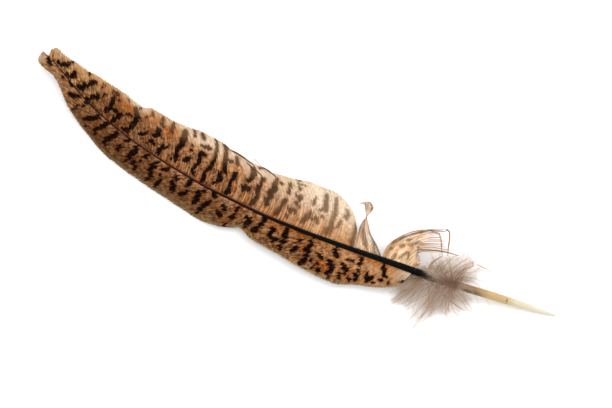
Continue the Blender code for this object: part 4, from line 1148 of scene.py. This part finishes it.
def down_ends(chance, strands, heights, over):
    """Root, middle and end of each strand of down, in the tables' plane, and whether it crosses the shaft."""
    degrees = np.arange(DOWN_TUFTS) + chance.uniform(-DOWN_TUFT_WANDER, DOWN_TUFT_WANDER, DOWN_TUFTS)
    degrees = degrees * 360 / DOWN_TUFTS - 180
    tuft_reach = read(DOWN_LENGTHS, degrees)
    tuft_reach = tuft_reach * chance.uniform(read(DOWN_SHORTEST_TUFTS, degrees), DOWN_TUFT_LONGEST)
    weight = tuft_reach ** DOWN_TUFT_POWER
    tuft = chance.choice(DOWN_TUFTS, strands, p=weight / weight.sum())
    degrees = (degrees[tuft] + chance.normal(0, DOWN_STRAND_WANDER, strands) + 180) % 360 - 180
    reach = tuft_reach[tuft] * chance.uniform(read(DOWN_SHORTEST_STRANDS, degrees), 1.0)
    heading = np.radians(degrees)
    way = np.stack((np.cos(heading), np.sin(heading)), axis=-1)
    end = np.array(plan(*DOWN_CENTRE)) + way * (np.array(DOWN_HALF) + reach[:, None])
    crossing = chance.uniform(0, 1, strands) < DOWN_CROSSING * over
    crossing &= np.abs(way[:, 1]) > DOWN_CROSSING_SIDEWAYS
    station = np.where(crossing, DOWN_OVER_SHAFT + way[:, 0] * DOWN_OVER_SHAFT_SPREAD,
                       DOWN_CENTRE[0] + DOWN_ROOTS + way[:, 0] * DOWN_ROOTS_SPREAD)
    station = np.maximum(station + chance.normal(0, DOWN_ROOTS_WANDER, strands), DOWN_FIRST_ROOT)
    end_offset = DOWN_CENTRE[1] + way[:, 1] * (DOWN_HALF[1] + reach)
    side = np.where(crossing, -1, 1) * np.where(end_offset > 0, 1.0, -1.0)
    root = np.stack(plan(station, side * DOWN_ROOT_OFFSET), axis=-1)
    turned = np.stack((-way[:, 1], way[:, 0]), axis=-1)
    middle = (root + end) / 2 + turned * chance.normal(0, DOWN_CURVE, (strands, 1)) * reach[:, None]
    root_z = read(SHAFT_HEIGHT, station) + np.where(crossing, DOWN_CROSSING_HEIGHT, DOWN_ROOT_HEIGHT)
    end_z = chance.uniform(*heights, strands)
    lift = over * chance.uniform(*DOWN_LIFT, strands) * even(DOWN_LIFT_HEADING, way[:, 0])
    middle_z = (root_z + end_z) / 2 + chance.uniform(*DOWN_MIDDLE, strands) + lift
    middle_z = np.where(crossing, root_z + chance.uniform(*DOWN_CROSSING_LIFT, strands), middle_z)
    ends = [np.concatenate((spot, height[:, None]), axis=1)[:, None]
            for spot, height in ((root, root_z), (middle, middle_z), (end, end_z))]
    return ends, crossing


def down_hairs(chance, lines, shade, crossing):
    """Fine hairs on both sides of each strand of down."""
    strands, samples = lines.shape[:2]
    total = strands * DOWN_HAIRS
    strand = np.repeat(np.arange(strands), DOWN_HAIRS)
    at = (np.tile(np.arange(DOWN_HAIRS), strands) + chance.uniform(0, 1, total)) / DOWN_HAIRS
    first = np.where(crossing[strand], HAIRS_START_CROSSING, HAIRS_START)
    at = first + (HAIRS_END - first) * at ** HAIR_CROWDING
    i = np.minimum((at * (samples - 1)).astype(int), samples - 2)
    part = (at * (samples - 1) - i)[:, None]
    root = lines[strand, i] * (1 - part) + lines[strand, i + 1] * part
    along, across = ways(lines)
    forward = along[strand, i]
    side = across[strand, i] * np.where(np.arange(total) % 2, 1, -1)[:, None]
    roll = chance.uniform(-HAIR_ROLL, HAIR_ROLL, total)[:, None]
    out = side * np.cos(roll) + np.array((0, 0, 1.0)) * np.sin(roll)
    length = HAIR_LENGTH - HAIR_LENGTH_LOST * at
    length = (chance.uniform(HAIR_SHORTEST, 1.0, total) * length)[:, None] * MM
    lean = chance.uniform(*HAIR_LEAN, total)[:, None]
    bend, back = lean + HAIR_BEND_OUT, lean - HAIR_BEND_IN
    middle = root + (out * np.sin(bend) + forward * np.cos(bend)) * length / 2
    tip = middle + (out * np.sin(back) + forward * np.cos(back)) * length / 2
    tip = tip + chance.normal(0, HAIR_TIP_WANDER, (total, 3)) * MM
    middle[:, 2] = np.maximum(middle[:, 2], HAIR_LOWEST_MIDDLE * MM)
    tip[:, 2] = np.maximum(tip[:, 2], HAIR_LOWEST_TIP * MM)
    hair_shade = np.clip(shade[strand] + chance.normal(0, HAIR_SHADE_WANDER, total), 0, 1)
    values = {"run": (0, 1), "shade": (hair_shade, hair_shade), "stem": (0, 0),
              "out": (at, np.minimum(at + HAIR_PALER_TIP, 1))}
    return hair_batch(root, middle, tip, HAIR_RADIUS * MM, values)


def down_mesh(name, seed, heights, over):
    """Curved strands of down, beside the shaft and in the upper layer also over it, with hairs along each."""
    chance = np.random.default_rng(seed)
    ends, crossing = down_ends(chance, DOWN_STRANDS, heights, over)
    share = np.linspace(0, 1, DOWN_SAMPLES)[None, :, None]
    path = ends[0] * (1 - share) ** 2 + ends[1] * (2 * share * (1 - share)) + ends[2] * share ** 2
    sway = np.stack([ripple(chance, DOWN_SAMPLES, DOWN_SWAY_SAMPLES) for _ in range(DOWN_STRANDS * 3)])
    sway = sway.reshape(DOWN_STRANDS, 3, DOWN_SAMPLES).transpose(0, 2, 1)
    path = path + sway * share * np.array(DOWN_SWAY)
    path[..., 2] = np.maximum(path[..., 2], DOWN_LOWEST_STRAND)
    lines = (path + SHIFT) * MM
    shade = chance.uniform(0, 1, DOWN_STRANDS)
    values = {"run": run_along(lines)[..., None], "shade": shade[:, None, None], "out": share, "stem": 1.0}
    stems = free_strands(lines, even(DOWN_RADII, share) * MM, values)
    batches = [stems, down_hairs(chance, lines, shade, crossing)]
    if over:
        thick = wisps(DOWN_THICK, DOWN_THICK_SAMPLES, DOWN_THICK_RADII, DOWN_THICK_SHADES)
        thick[3]["stem"] = np.ones(len(thick[0]))
        batches.append(thick)
    return joined_mesh(name, *batches)


def down_material(settings):
    """Grey-brown down, darker toward its roots."""
    tree = NodeTree("down")
    shade, out, run = tree.attribute("shade"), tree.attribute("out"), tree.attribute("run")
    along = tree.math("MULTIPLY", run, DOWN_PATCH_PACE)
    patch = tree.noise(along, tree.math("MULTIPLY", shade, DOWN_STRANDS_APART), 0.0)
    strand = tree.math("MULTIPLY_ADD", shade, *DOWN_SHADE_TONE)
    pale = tree.math("ADD", tree.span(out, *DOWN_PALE_OUT), strand, clamp=True)
    colour = tree.mix(pale, DOWN_DARK, tuple(settings.down_colour))
    colour = tree.mix(tree.math("MULTIPLY", tree.attribute("stem"), DOWN_STEM_SHARE), colour, DOWN_STEM)
    colour = tree.scaled(colour, tree.math("MULTIPLY_ADD", patch, *DOWN_TONE))
    tree.join(colour, tree.shader.inputs["Base Color"])
    tree.bump(patch, *DOWN_BUMP)
    return tree.finish(*DOWN_FINISH)


def vane_material(name, tip_ground, base_ground, broad, settings):
    """Satin barbs with ragged dark marks, on a ground that changes out from the shaft and along it."""
    tree = NodeTree(name)
    station, out, run = tree.attribute("station"), tree.attribute("out"), tree.attribute("run")
    shade, mark, web = tree.attribute("shade"), tree.attribute("mark"), tree.attribute("web")
    offset = tree.math("DIVIDE", tree.attribute("offset"), OFFSET_SPAN)
    to_base = tree.span(station, *BASE_GROUND_AT)
    ground = tree.mix(to_base, tree.ramp(offset, tip_ground), tree.ramp(offset, base_ground))
    tipmost = tree.span(station, *TIPMOST_AT, 0.0, WIDE_TIPMOST if broad else NARROW_TIPMOST)
    ground = tree.mix(tipmost, ground, TIPMOST)
    # Pale patches: paler barbs, and along the broad vane's rim partly painted light; PALE_CALM also fades the
    # dark grain under them
    ground = tree.mix(tree.attribute("pale"), ground, CREAM)
    barb = tree.math("MULTIPLY", shade, VANE_BARBS_APART)
    streak = tree.noise(tree.math("MULTIPLY", run, STREAK_PACE), barb, 0.0, detail=3.0)
    orange = tree.attribute("orange")
    orange = tree.math("MULTIPLY", orange, tree.span(streak, *ORANGE_STREAKS), clamp=True)
    ground = tree.mix(orange, ground, ORANGE)
    along = tree.math("MULTIPLY", run, MOTTLE_PACE)
    length = tree.math("MULTIPLY", station, MOTTLE_LENGTH_PACE)
    mottle = tree.noise(along, length, MOTTLE_LAYER, detail=3.0)
    grain = tree.math("ADD", tree.math("MULTIPLY", mottle, MOTTLE_GRAIN),
                      tree.math("MULTIPLY", streak, STREAK_GRAIN))
    dusk = tree.product(tree.span(station, *DUSK_FROM), tree.span(station, *DUSK_TO))
    dark = tree.span(tree.math("ADD", grain, dusk), *DARK_GRAIN)
    calm = tree.math("MULTIPLY_ADD", tree.attribute("pale"), PALE_CALM, 1.0)
    if broad:
        calm = tree.product(calm, tree.span(out, *WIDE_CALM_OUT))
        calm = tree.product(calm, tree.span(station, *WIDE_CALM_AT))
    else:
        calm = tree.product(calm, tree.span(station, *NARROW_CALM_AT))
    ground = tree.mix(tree.product(dark, calm), ground, UMBER)
    halo = tree.product(tree.span(mark, *HALO_DEPTH), tree.span(streak, *HALO_STREAKS))
    if broad:
        halo = tree.product(halo, tree.span(tree.product(out, to_base), *WIDE_HALO_OUT))
    ground = tree.mix(halo, ground, RUST)
    rim = tree.span(out, *RIM_OUT, 0.0, WIDE_RIM if broad else NARROW_RIM)
    ground = tree.mix(rim, ground, UNDERSIDE if broad else RIM)
    if not broad:
        rolled = tree.product(tree.span(station, *ROLLED_FROM), tree.span(station, *ROLLED_TO))
        ground = tree.mix(tree.product(rolled, tree.span(out, *ROLLED_OUT)), ground, RIM_PALE)
    shade_part, streak_part, even_part = WIDE_TONE if broad else NARROW_TONE
    streak_tone = tree.math("MULTIPLY_ADD", streak, streak_part, even_part)
    tone = tree.math("MULTIPLY_ADD", shade, shade_part, streak_tone)
    if broad:
        lined = tree.math("MAXIMUM", tree.span(station, *LINED_FROM), tree.span(station, *LINED_FAINTLY_FROM))
        lined = tree.product(lined, tree.span(station, *LINED_TO))
        lined = tree.product(lined, tree.span(offset, *LINED_OFFSETS))
        dots = tree.math("MULTIPLY_ADD", tree.math("SINE", tree.math("MULTIPLY", run, DOT_PACE)), *DOT_TONE)
        lined = tree.product(tree.product(lined, dots), tree.span(web, *LINED_WEB))
        line_colour = tree.mix(tree.span(shade, *BRIGHT_SHADES), ORANGE, BRIGHT_BARB)
        ground = tree.mix(tree.math("MULTIPLY", lined, LINED_STRENGTH, clamp=True), ground, line_colour)
    ridge = tree.math("MULTIPLY_ADD", web, *RIDGE_TONE)
    ground = tree.scaled(ground, tree.product(tone, ridge))
    rough = tree.noise(tree.math("MULTIPLY", run, ROUGH_PACE), barb, ROUGH_LAYER)
    if broad:
        rough_size = tree.math("MULTIPLY_ADD", to_base, *WIDE_ROUGH_SIZE)
        level = tree.math("SUBTRACT", rough, WIDE_ROUGH_MIDDLE)
        level = tree.math("MULTIPLY_ADD", level, rough_size, mark)
    else:
        level = tree.math("ADD", mark, tree.math("MULTIPLY_ADD", rough, *NARROW_ROUGH))
    soft = tree.math("MULTIPLY", to_base, WIDE_BASE_SOFTNESS) if broad else 0.0
    outer, inner = INK_EDGE
    ink = tree.span(level, tree.math("SUBTRACT", outer, soft), tree.math("ADD", inner, soft))
    if broad:
        ink = tree.product(ink, tree.math("MULTIPLY_ADD", to_base, *WIDE_BASE_INK))
    dash = tree.product(tree.span(rough, *DASHES), tree.span(mottle, *DASHED_MOTTLE))
    if broad:
        spotted = tree.product(tree.span(out, *WIDE_SPOTS_OUT), tree.span(station, *WIDE_SPOTS_FROM))
        spotted = tree.product(spotted, tree.span(station, *WIDE_SPOTS_TO))
        spotted = tree.math("MAXIMUM", spotted, tree.math("MULTIPLY", to_base, WIDE_BASE_SPOTS))
    else:
        spotted = tree.product(tree.span(out, *NARROW_SPOTS_OUT), tree.span(station, *NARROW_SPOTS_FROM))
        near_shaft = tree.span(station, *NARROW_INNER_SPOTS_FROM)
        near_shaft = tree.product(near_shaft, tree.span(out, *NARROW_INNER_SPOTS_OUT))
        spotted = tree.math("MAXIMUM", spotted, near_shaft)
        spotted = tree.product(spotted, tree.span(station, *NARROW_SPOTS_TO))
    ink = tree.math("MAXIMUM", ink, tree.product(dash, spotted))
    pale = 0.0
    if broad:
        pale = tree.product(to_base, tree.span(out, *PALE_MARKS_OUT))
        rimward = tree.product(tree.span(out, *PALE_RIM_MARKS_OUT), tree.span(station, *PALE_RIM_MARKS_FROM))
        pale = tree.math("MAXIMUM", pale, rimward)
    ground = tree.mix(1.0, ground, tuple(settings.vane_tint), "MULTIPLY")
    mark_colour = tree.mix(pale, tuple(settings.mark_colour), MARK_BROWN)
    along, length = tree.math("MULTIPLY", run, BLOT_PACE), tree.math("MULTIPLY", station, BLOT_PACE)
    blot = tree.noise(along, length, BLOT_LAYER)
    ink = tree.product(ink, tree.span(blot, *FADED_INK))
    colour = tree.mix(ink, ground, mark_colour)
    under = tree.math("MULTIPLY", tree.attribute("under"), UNDERSIDE_SHARE)
    colour = tree.mix(under, colour, UNDERSIDE)
    tree.join(colour, tree.shader.inputs["Base Color"])
    slant = tree.math("MULTIPLY", run, BARBULES_ALONG)
    barbule = tree.math("SINE", tree.math("MULTIPLY_ADD", web, BARBULES_ACROSS, slant))
    tree.bump(tree.math("ADD", tree.math("MULTIPLY", barbule, BARBULES_HEIGHT), streak), *BARB_BUMP)
    return tree.finish(*VANE_FINISH)


def quill_mesh():
    """The shaft in fine rings: a round quill, then along the vanes a squarer rachis with a groove below."""
    size = (QUILL_SAMPLES, QUILL_SIDES)
    station = SHAFT_START + (LENGTH - SHAFT_START) * np.linspace(0, 1, QUILL_SAMPLES)
    turn = 2 * np.pi * np.arange(QUILL_SIDES) / QUILL_SIDES
    below = 1.5 * np.pi
    radius = read(SHAFT_RADIUS, station) * read(RACHIS_SLIMNESS, station)
    middle = points(station, np.zeros(QUILL_SAMPLES), read(SHAFT_HEIGHT, station))
    along = unit(np.gradient(middle, axis=0))
    across = unit(np.cross((0, 0, 1), along))
    upward = np.cross(along, across)
    corner = 1 + even(RACHIS_SQUARENESS, station)[:, None] * CORNER_SWELL * (1 - np.cos(4 * turn)) / 2
    groove = np.exp(-((turn - below) / GROOVE_WIDTH) ** 2) * even(RACHIS_GROOVE, station)[:, None]
    reach = radius[:, None] * corner * (1 - groove)
    rings = (middle[:, None] + across[:, None] * (np.cos(turn) * reach)[..., None] * MM
             + upward[:, None] * (np.sin(turn) * reach)[..., None] * MM)
    index = np.arange(QUILL_SAMPLES * QUILL_SIDES).reshape(size)
    turned = np.roll(index, -1, axis=1)
    walls = np.stack((index[:-1], turned[:-1], turned[1:], index[1:]), axis=-1).reshape(-1, 4)
    faces = [walls, index[:1, ::-1], index[-1:]]
    values = {"station": station[:, None], "around": np.sin(turn), "beside": np.cos(turn)}
    spread = {label: np.broadcast_to(value, size).ravel() for label, value in values.items()}
    return joined_mesh("quill", (rings.reshape(-1, 3), faces, tube_map(*size), spread))


def tube_map(samples, sides):
    """Texture places of one long tube, cut into lengths that stand one above the other, and its ends."""
    ring, side = np.meshgrid(np.arange(samples - 1), np.arange(sides), indexing="ij")
    per_length = math.ceil((samples - 1) / TUBE_LENGTHS)
    row = ring // per_length
    near = TUBE_MAP_START + TUBE_MAP_LENGTH * (ring - row * per_length) / per_length
    far = near + TUBE_MAP_LENGTH / per_length
    low, high = ((row + TUBE_MAP_GAP + (1 - 2 * TUBE_MAP_GAP) * k / sides) / TUBE_LENGTHS
                 for k in (side, side + 1))
    u, v = np.stack((near, near, far, far), axis=-1), np.stack((low, high, high, low), axis=-1)
    places = [np.stack((u, v), axis=-1).reshape(-1, 2)]
    turn = 2 * np.pi * np.arange(sides) / sides
    for middle, way in TUBE_MAP_ENDS:
        ring = np.stack((np.cos(way * turn), np.sin(way * turn)), axis=-1)
        places.append(np.array((TUBE_MAP_END, middle)) + TUBE_MAP_END_RADIUS * ring)
    return np.concatenate(places)


def quill_material(settings):
    """Smooth horn: dark along the vanes, then grey brown, tan and cream toward the end."""
    tree = NodeTree("quill_horn")
    station, around, beside = tree.attribute("station"), tree.attribute("around"), tree.attribute("beside")
    wobble = tree.noise(tree.math("MULTIPLY", station, WOBBLE_PACE), around, 0.0, detail=3.0)
    place = tree.math("ADD", station, tree.math("MULTIPLY_ADD", wobble, *WOBBLE))
    colour = tree.ramp(tree.math("DIVIDE", place, LENGTH), QUILL_COLOURS)
    along, across = tree.math("MULTIPLY", station, GRAIN_PACE), tree.math("MULTIPLY", around, GRAIN_ROUND)
    grain = tree.noise(along, across, GRAIN_LAYER, detail=4.0)
    along, across = tree.math("MULTIPLY", station, FIBRE_PACE), tree.math("MULTIPLY", beside, FIBRE_ROUND)
    fibre = tree.noise(along, across, FIBRE_LAYER, detail=3.0)
    colour = tree.scaled(colour, tree.math("MULTIPLY_ADD", grain, *GRAIN_TONE))
    colour = tree.scaled(colour, tree.math("MULTIPLY_ADD", fibre, *FIBRE_TONE))
    # The quill is made darker along its lower side over a short length, and at a small nick
    below = tree.product(tree.span(beside, *LOWER_STREAK_ROUND), tree.span(station, *LOWER_STREAK_FROM))
    below = tree.product(below, tree.span(station, *LOWER_STREAK_TO))
    nick = tree.span(tree.math("ABSOLUTE", tree.math("SUBTRACT", station, NICK_STATION)), *NICK_LONG)
    nick_across = tree.span(tree.math("ABSOLUTE", tree.math("ADD", beside, NICK_ROUND)), *NICK_WIDE)
    nick = tree.product(tree.product(nick, nick_across), tree.span(around, *NICK_TOP))
    lit = tree.product(tree.span(station, *LIT_FROM), tree.span(station, *LIT_TO))
    lit = tree.product(lit, tree.span(beside, *LIT_ROUND))
    colour = tree.mix(lit, colour, RACHIS_BROWN)
    darkening = tree.math("MAXIMUM", below, tree.math("MULTIPLY", nick, NICK_STRENGTH))
    colour = tree.mix(darkening, colour, QUILL_DARKER)
    colour = tree.mix(1.0, colour, tuple(settings.quill_tint), "MULTIPLY")
    tree.join(colour, tree.shader.inputs["Base Color"])
    tree.bump(tree.math("ADD", grain, tree.math("MULTIPLY", fibre, FIBRE_HEIGHT)), *QUILL_BUMP)
    return tree.finish(*QUILL_FINISH)


def look_direction():
    """The way that the camera looks."""
    azimuth, elevation = math.radians(CAMERA_AZIMUTH), math.radians(CAMERA_ELEVATION)
    level = math.cos(elevation)
    return Vector((-math.sin(azimuth) * level, math.cos(azimuth) * level, -math.sin(elevation)))


def colour_property(name, description, default):
    """A colour that the user can change."""
    return bpy.props.FloatVectorProperty(name=name, description=description, subtype="COLOR", size=3,
                                         default=default, min=0.0, max=1.0)


class FeatherSettings(bpy.types.PropertyGroup):
    """How finely the feather is built, its colours and the light on it"""

    barb_spacing: bpy.props.FloatProperty(
        name="Barb spacing", description="Distance between neighbouring barbs along the shaft",
        default=0.5 * MM, min=0.3 * MM, max=2.0 * MM, precision=5, subtype="DISTANCE", unit="LENGTH")
    vane_tint: colour_property("Vane tint", "Colour that multiplies the ground of both vanes", (1, 1, 1))
    mark_colour: colour_property("Marks", "Colour of the darkest bars on both vanes", MARK_BLACK)
    lock_colour: colour_property("Loose locks", "Palest colour of the loose locks' barbs", LOCK_PALE)
    down_colour: colour_property("Down", "Palest colour of the down", DOWN_PALE)
    quill_tint: colour_property("Quill tint", "Colour that multiplies the quill's own", (1, 1, 1))
    floor_colour: colour_property("Floor", "Colour of the surface under the feather", (0.9, 0.9, 0.9))
    light_strength: bpy.props.FloatProperty(
        name="Room light", description="Strength of the soft light from all sides", default=1.4,
        min=0.0, max=5.0)


class FEATHER_OT_quill(bpy.types.Operator):
    """Builds the quill and the rachis"""

    bl_idname = "feather.quill"
    bl_label = "Quill"

    def execute(self, context):
        add_piece("quill", quill_mesh(), quill_material(context.scene.feather), ["shaft"])
        return {"FINISHED"}


class FEATHER_OT_vanes(bpy.types.Operator):
    """Builds the broad and the narrow vane"""

    bl_idname = "feather.vanes"
    bl_label = "Vanes"

    def execute(self, context):
        settings = context.scene.feather
        spacing = settings.barb_spacing / MM
        wide = Vane(1, WIDE_EDGE, WIDE_EDGE_HEIGHT, WIDE_SWEEP, WIDE_BEND, WIDE_RAGGED, WIDE_MARKS,
                    WIDE_PALE_AND_LIT, WIDE_ORANGE)
        narrow = Vane(-1, NARROW_EDGE, NARROW_EDGE_HEIGHT, NARROW_SWEEP, NARROW_BEND, NARROW_RAGGED,
                      NARROW_MARKS_AND_TIP_SHADE, NARROW_PALE, NARROW_ORANGE)
        wide_finish = vane_material("broad_vane_barbs", WIDE_TIP_GROUND, WIDE_BASE_GROUND, True, settings)
        narrow_finish = vane_material("narrow_vane_barbs", NARROW_TIP_GROUND, NARROW_BASE_GROUND, False,
                                      settings)
        wide_mesh = vane_mesh("broad_vane", wide, WIDE_ROOTS, spacing, SEED)
        add_piece("broad_vane", wide_mesh, wide_finish, ["wide_vane"])
        narrow_mesh = vane_mesh("narrow_vane_barbs", narrow, NARROW_ROOTS, spacing, SEED + 1)
        add_piece("narrow_vane_barbs", narrow_mesh, narrow_finish, ["narrow_vane"])
        return {"FINISHED"}


class FEATHER_OT_locks(bpy.types.Operator):
    """Builds the two loose locks of the broad vane"""

    bl_idname = "feather.locks"
    bl_label = "Loose locks"

    def execute(self, context):
        settings = context.scene.feather
        curled_finish = lock_material("curled_lock", CURLED_EDGE, settings)
        base_finish = lock_material("base_lock", BASE_EDGE, settings)
        add_piece("curled_lock_barbs", curled_lock_mesh(), curled_finish, ["curled_lock"])
        add_piece("base_lock_barbs", base_lock_mesh(), base_finish, ["base_lock"])
        return {"FINISHED"}


class FEATHER_OT_down(bpy.types.Operator):
    """Builds the down around the base of the vanes"""

    bl_idname = "feather.down"
    bl_label = "Down"

    def execute(self, context):
        finish = down_material(context.scene.feather)
        low = down_mesh("down_low", SEED + 4, DOWN_LOW_ENDS, False)
        add_piece("down_low", low, finish, ["down_tuft"])
        high = down_mesh("down_high", SEED + 5, DOWN_HIGH_ENDS, True)
        add_piece("down_high", high, finish, ["down_tuft"])
        return {"FINISHED"}


class FEATHER_OT_stage(bpy.types.Operator):
    """Adds the pale floor, the soft light and the camera"""

    bl_idname = "feather.stage"
    bl_label = "Stage"

    def execute(self, context):
        scene = context.scene
        mesh = bpy.data.meshes.new("floor")
        corners = [(x * FLOOR_HALF, y * FLOOR_HALF, 0) for x, y in ((-1, -1), (1, -1), (1, 1), (-1, 1))]
        mesh.from_pydata(corners, [], [(0, 1, 2, 3)])
        floor = bpy.data.objects.new("floor", mesh)
        scene.collection.objects.link(floor)
        floor.location.z = -FLOOR_DEPTH
        tree = NodeTree("pale_floor")
        tree.shader.inputs["Base Color"].default_value = (*scene.feather.floor_colour, 1.0)
        mesh.materials.append(tree.finish(*FLOOR_FINISH))
        world = bpy.data.worlds.new("soft_room")
        world.use_nodes = True
        room = world.node_tree.nodes["Background"]
        room.inputs["Color"].default_value = ROOM_COLOUR
        room.inputs["Strength"].default_value = scene.feather.light_strength
        scene.world = world
        light = bpy.data.lights.new("window", "AREA")
        light.shape = "DISK"
        light.size = WINDOW_SIZE
        light.energy = WINDOW_POWER
        lamp = bpy.data.objects.new("window", light)
        scene.collection.objects.link(lamp)
        target = Vector(CAMERA_TARGET)
        lamp.location = target + Vector(WINDOW_WAY)
        lamp.rotation_mode = "QUATERNION"
        lamp.rotation_quaternion = (target - lamp.location).to_track_quat("-Z", "Y")
        camera = bpy.data.objects.new("camera", bpy.data.cameras.new("camera"))
        camera.data.lens = CAMERA_LENS
        camera.data.clip_start = CAMERA_NEAREST
        look = look_direction()
        camera.location = target - look * CAMERA_DISTANCE
        camera.rotation_mode = "QUATERNION"
        camera.rotation_quaternion = look.to_track_quat("-Z", "Y")
        scene.collection.objects.link(camera)
        scene.camera = camera
        scene.view_settings.view_transform = "Standard"
        return {"FINISHED"}


class FEATHER_PT_panel(bpy.types.Panel):
    """Settings and buttons of the feather"""

    bl_idname = "FEATHER_PT_panel"
    bl_label = "Feather"
    bl_space_type = "VIEW_3D"
    bl_region_type = "UI"
    bl_category = "Feather"

    def draw(self, context):
        settings = context.scene.feather
        for label in settings.__annotations__:
            self.layout.prop(settings, label)
        for operator in OPERATORS:
            self.layout.operator(operator.bl_idname)


OPERATORS = (FEATHER_OT_quill, FEATHER_OT_vanes, FEATHER_OT_locks, FEATHER_OT_down, FEATHER_OT_stage)
CLASSES = (FeatherSettings, *OPERATORS, FEATHER_PT_panel)


def register():
    """Makes the settings, the operators and the panel known to Blender."""
    for cls in CLASSES:
        bpy.utils.register_class(cls)
    bpy.types.Scene.feather = bpy.props.PointerProperty(type=FeatherSettings)


def unregister():
    """Takes them away again."""
    del bpy.types.Scene.feather
    for cls in reversed(CLASSES):
        bpy.utils.unregister_class(cls)


def main():
    """Registers the add-on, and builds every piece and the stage."""
    register()
    for operator in OPERATORS:
        group, name = operator.bl_idname.split(".")
        getattr(getattr(bpy.ops, group), name)()


if __name__ == "__main__":
    main()
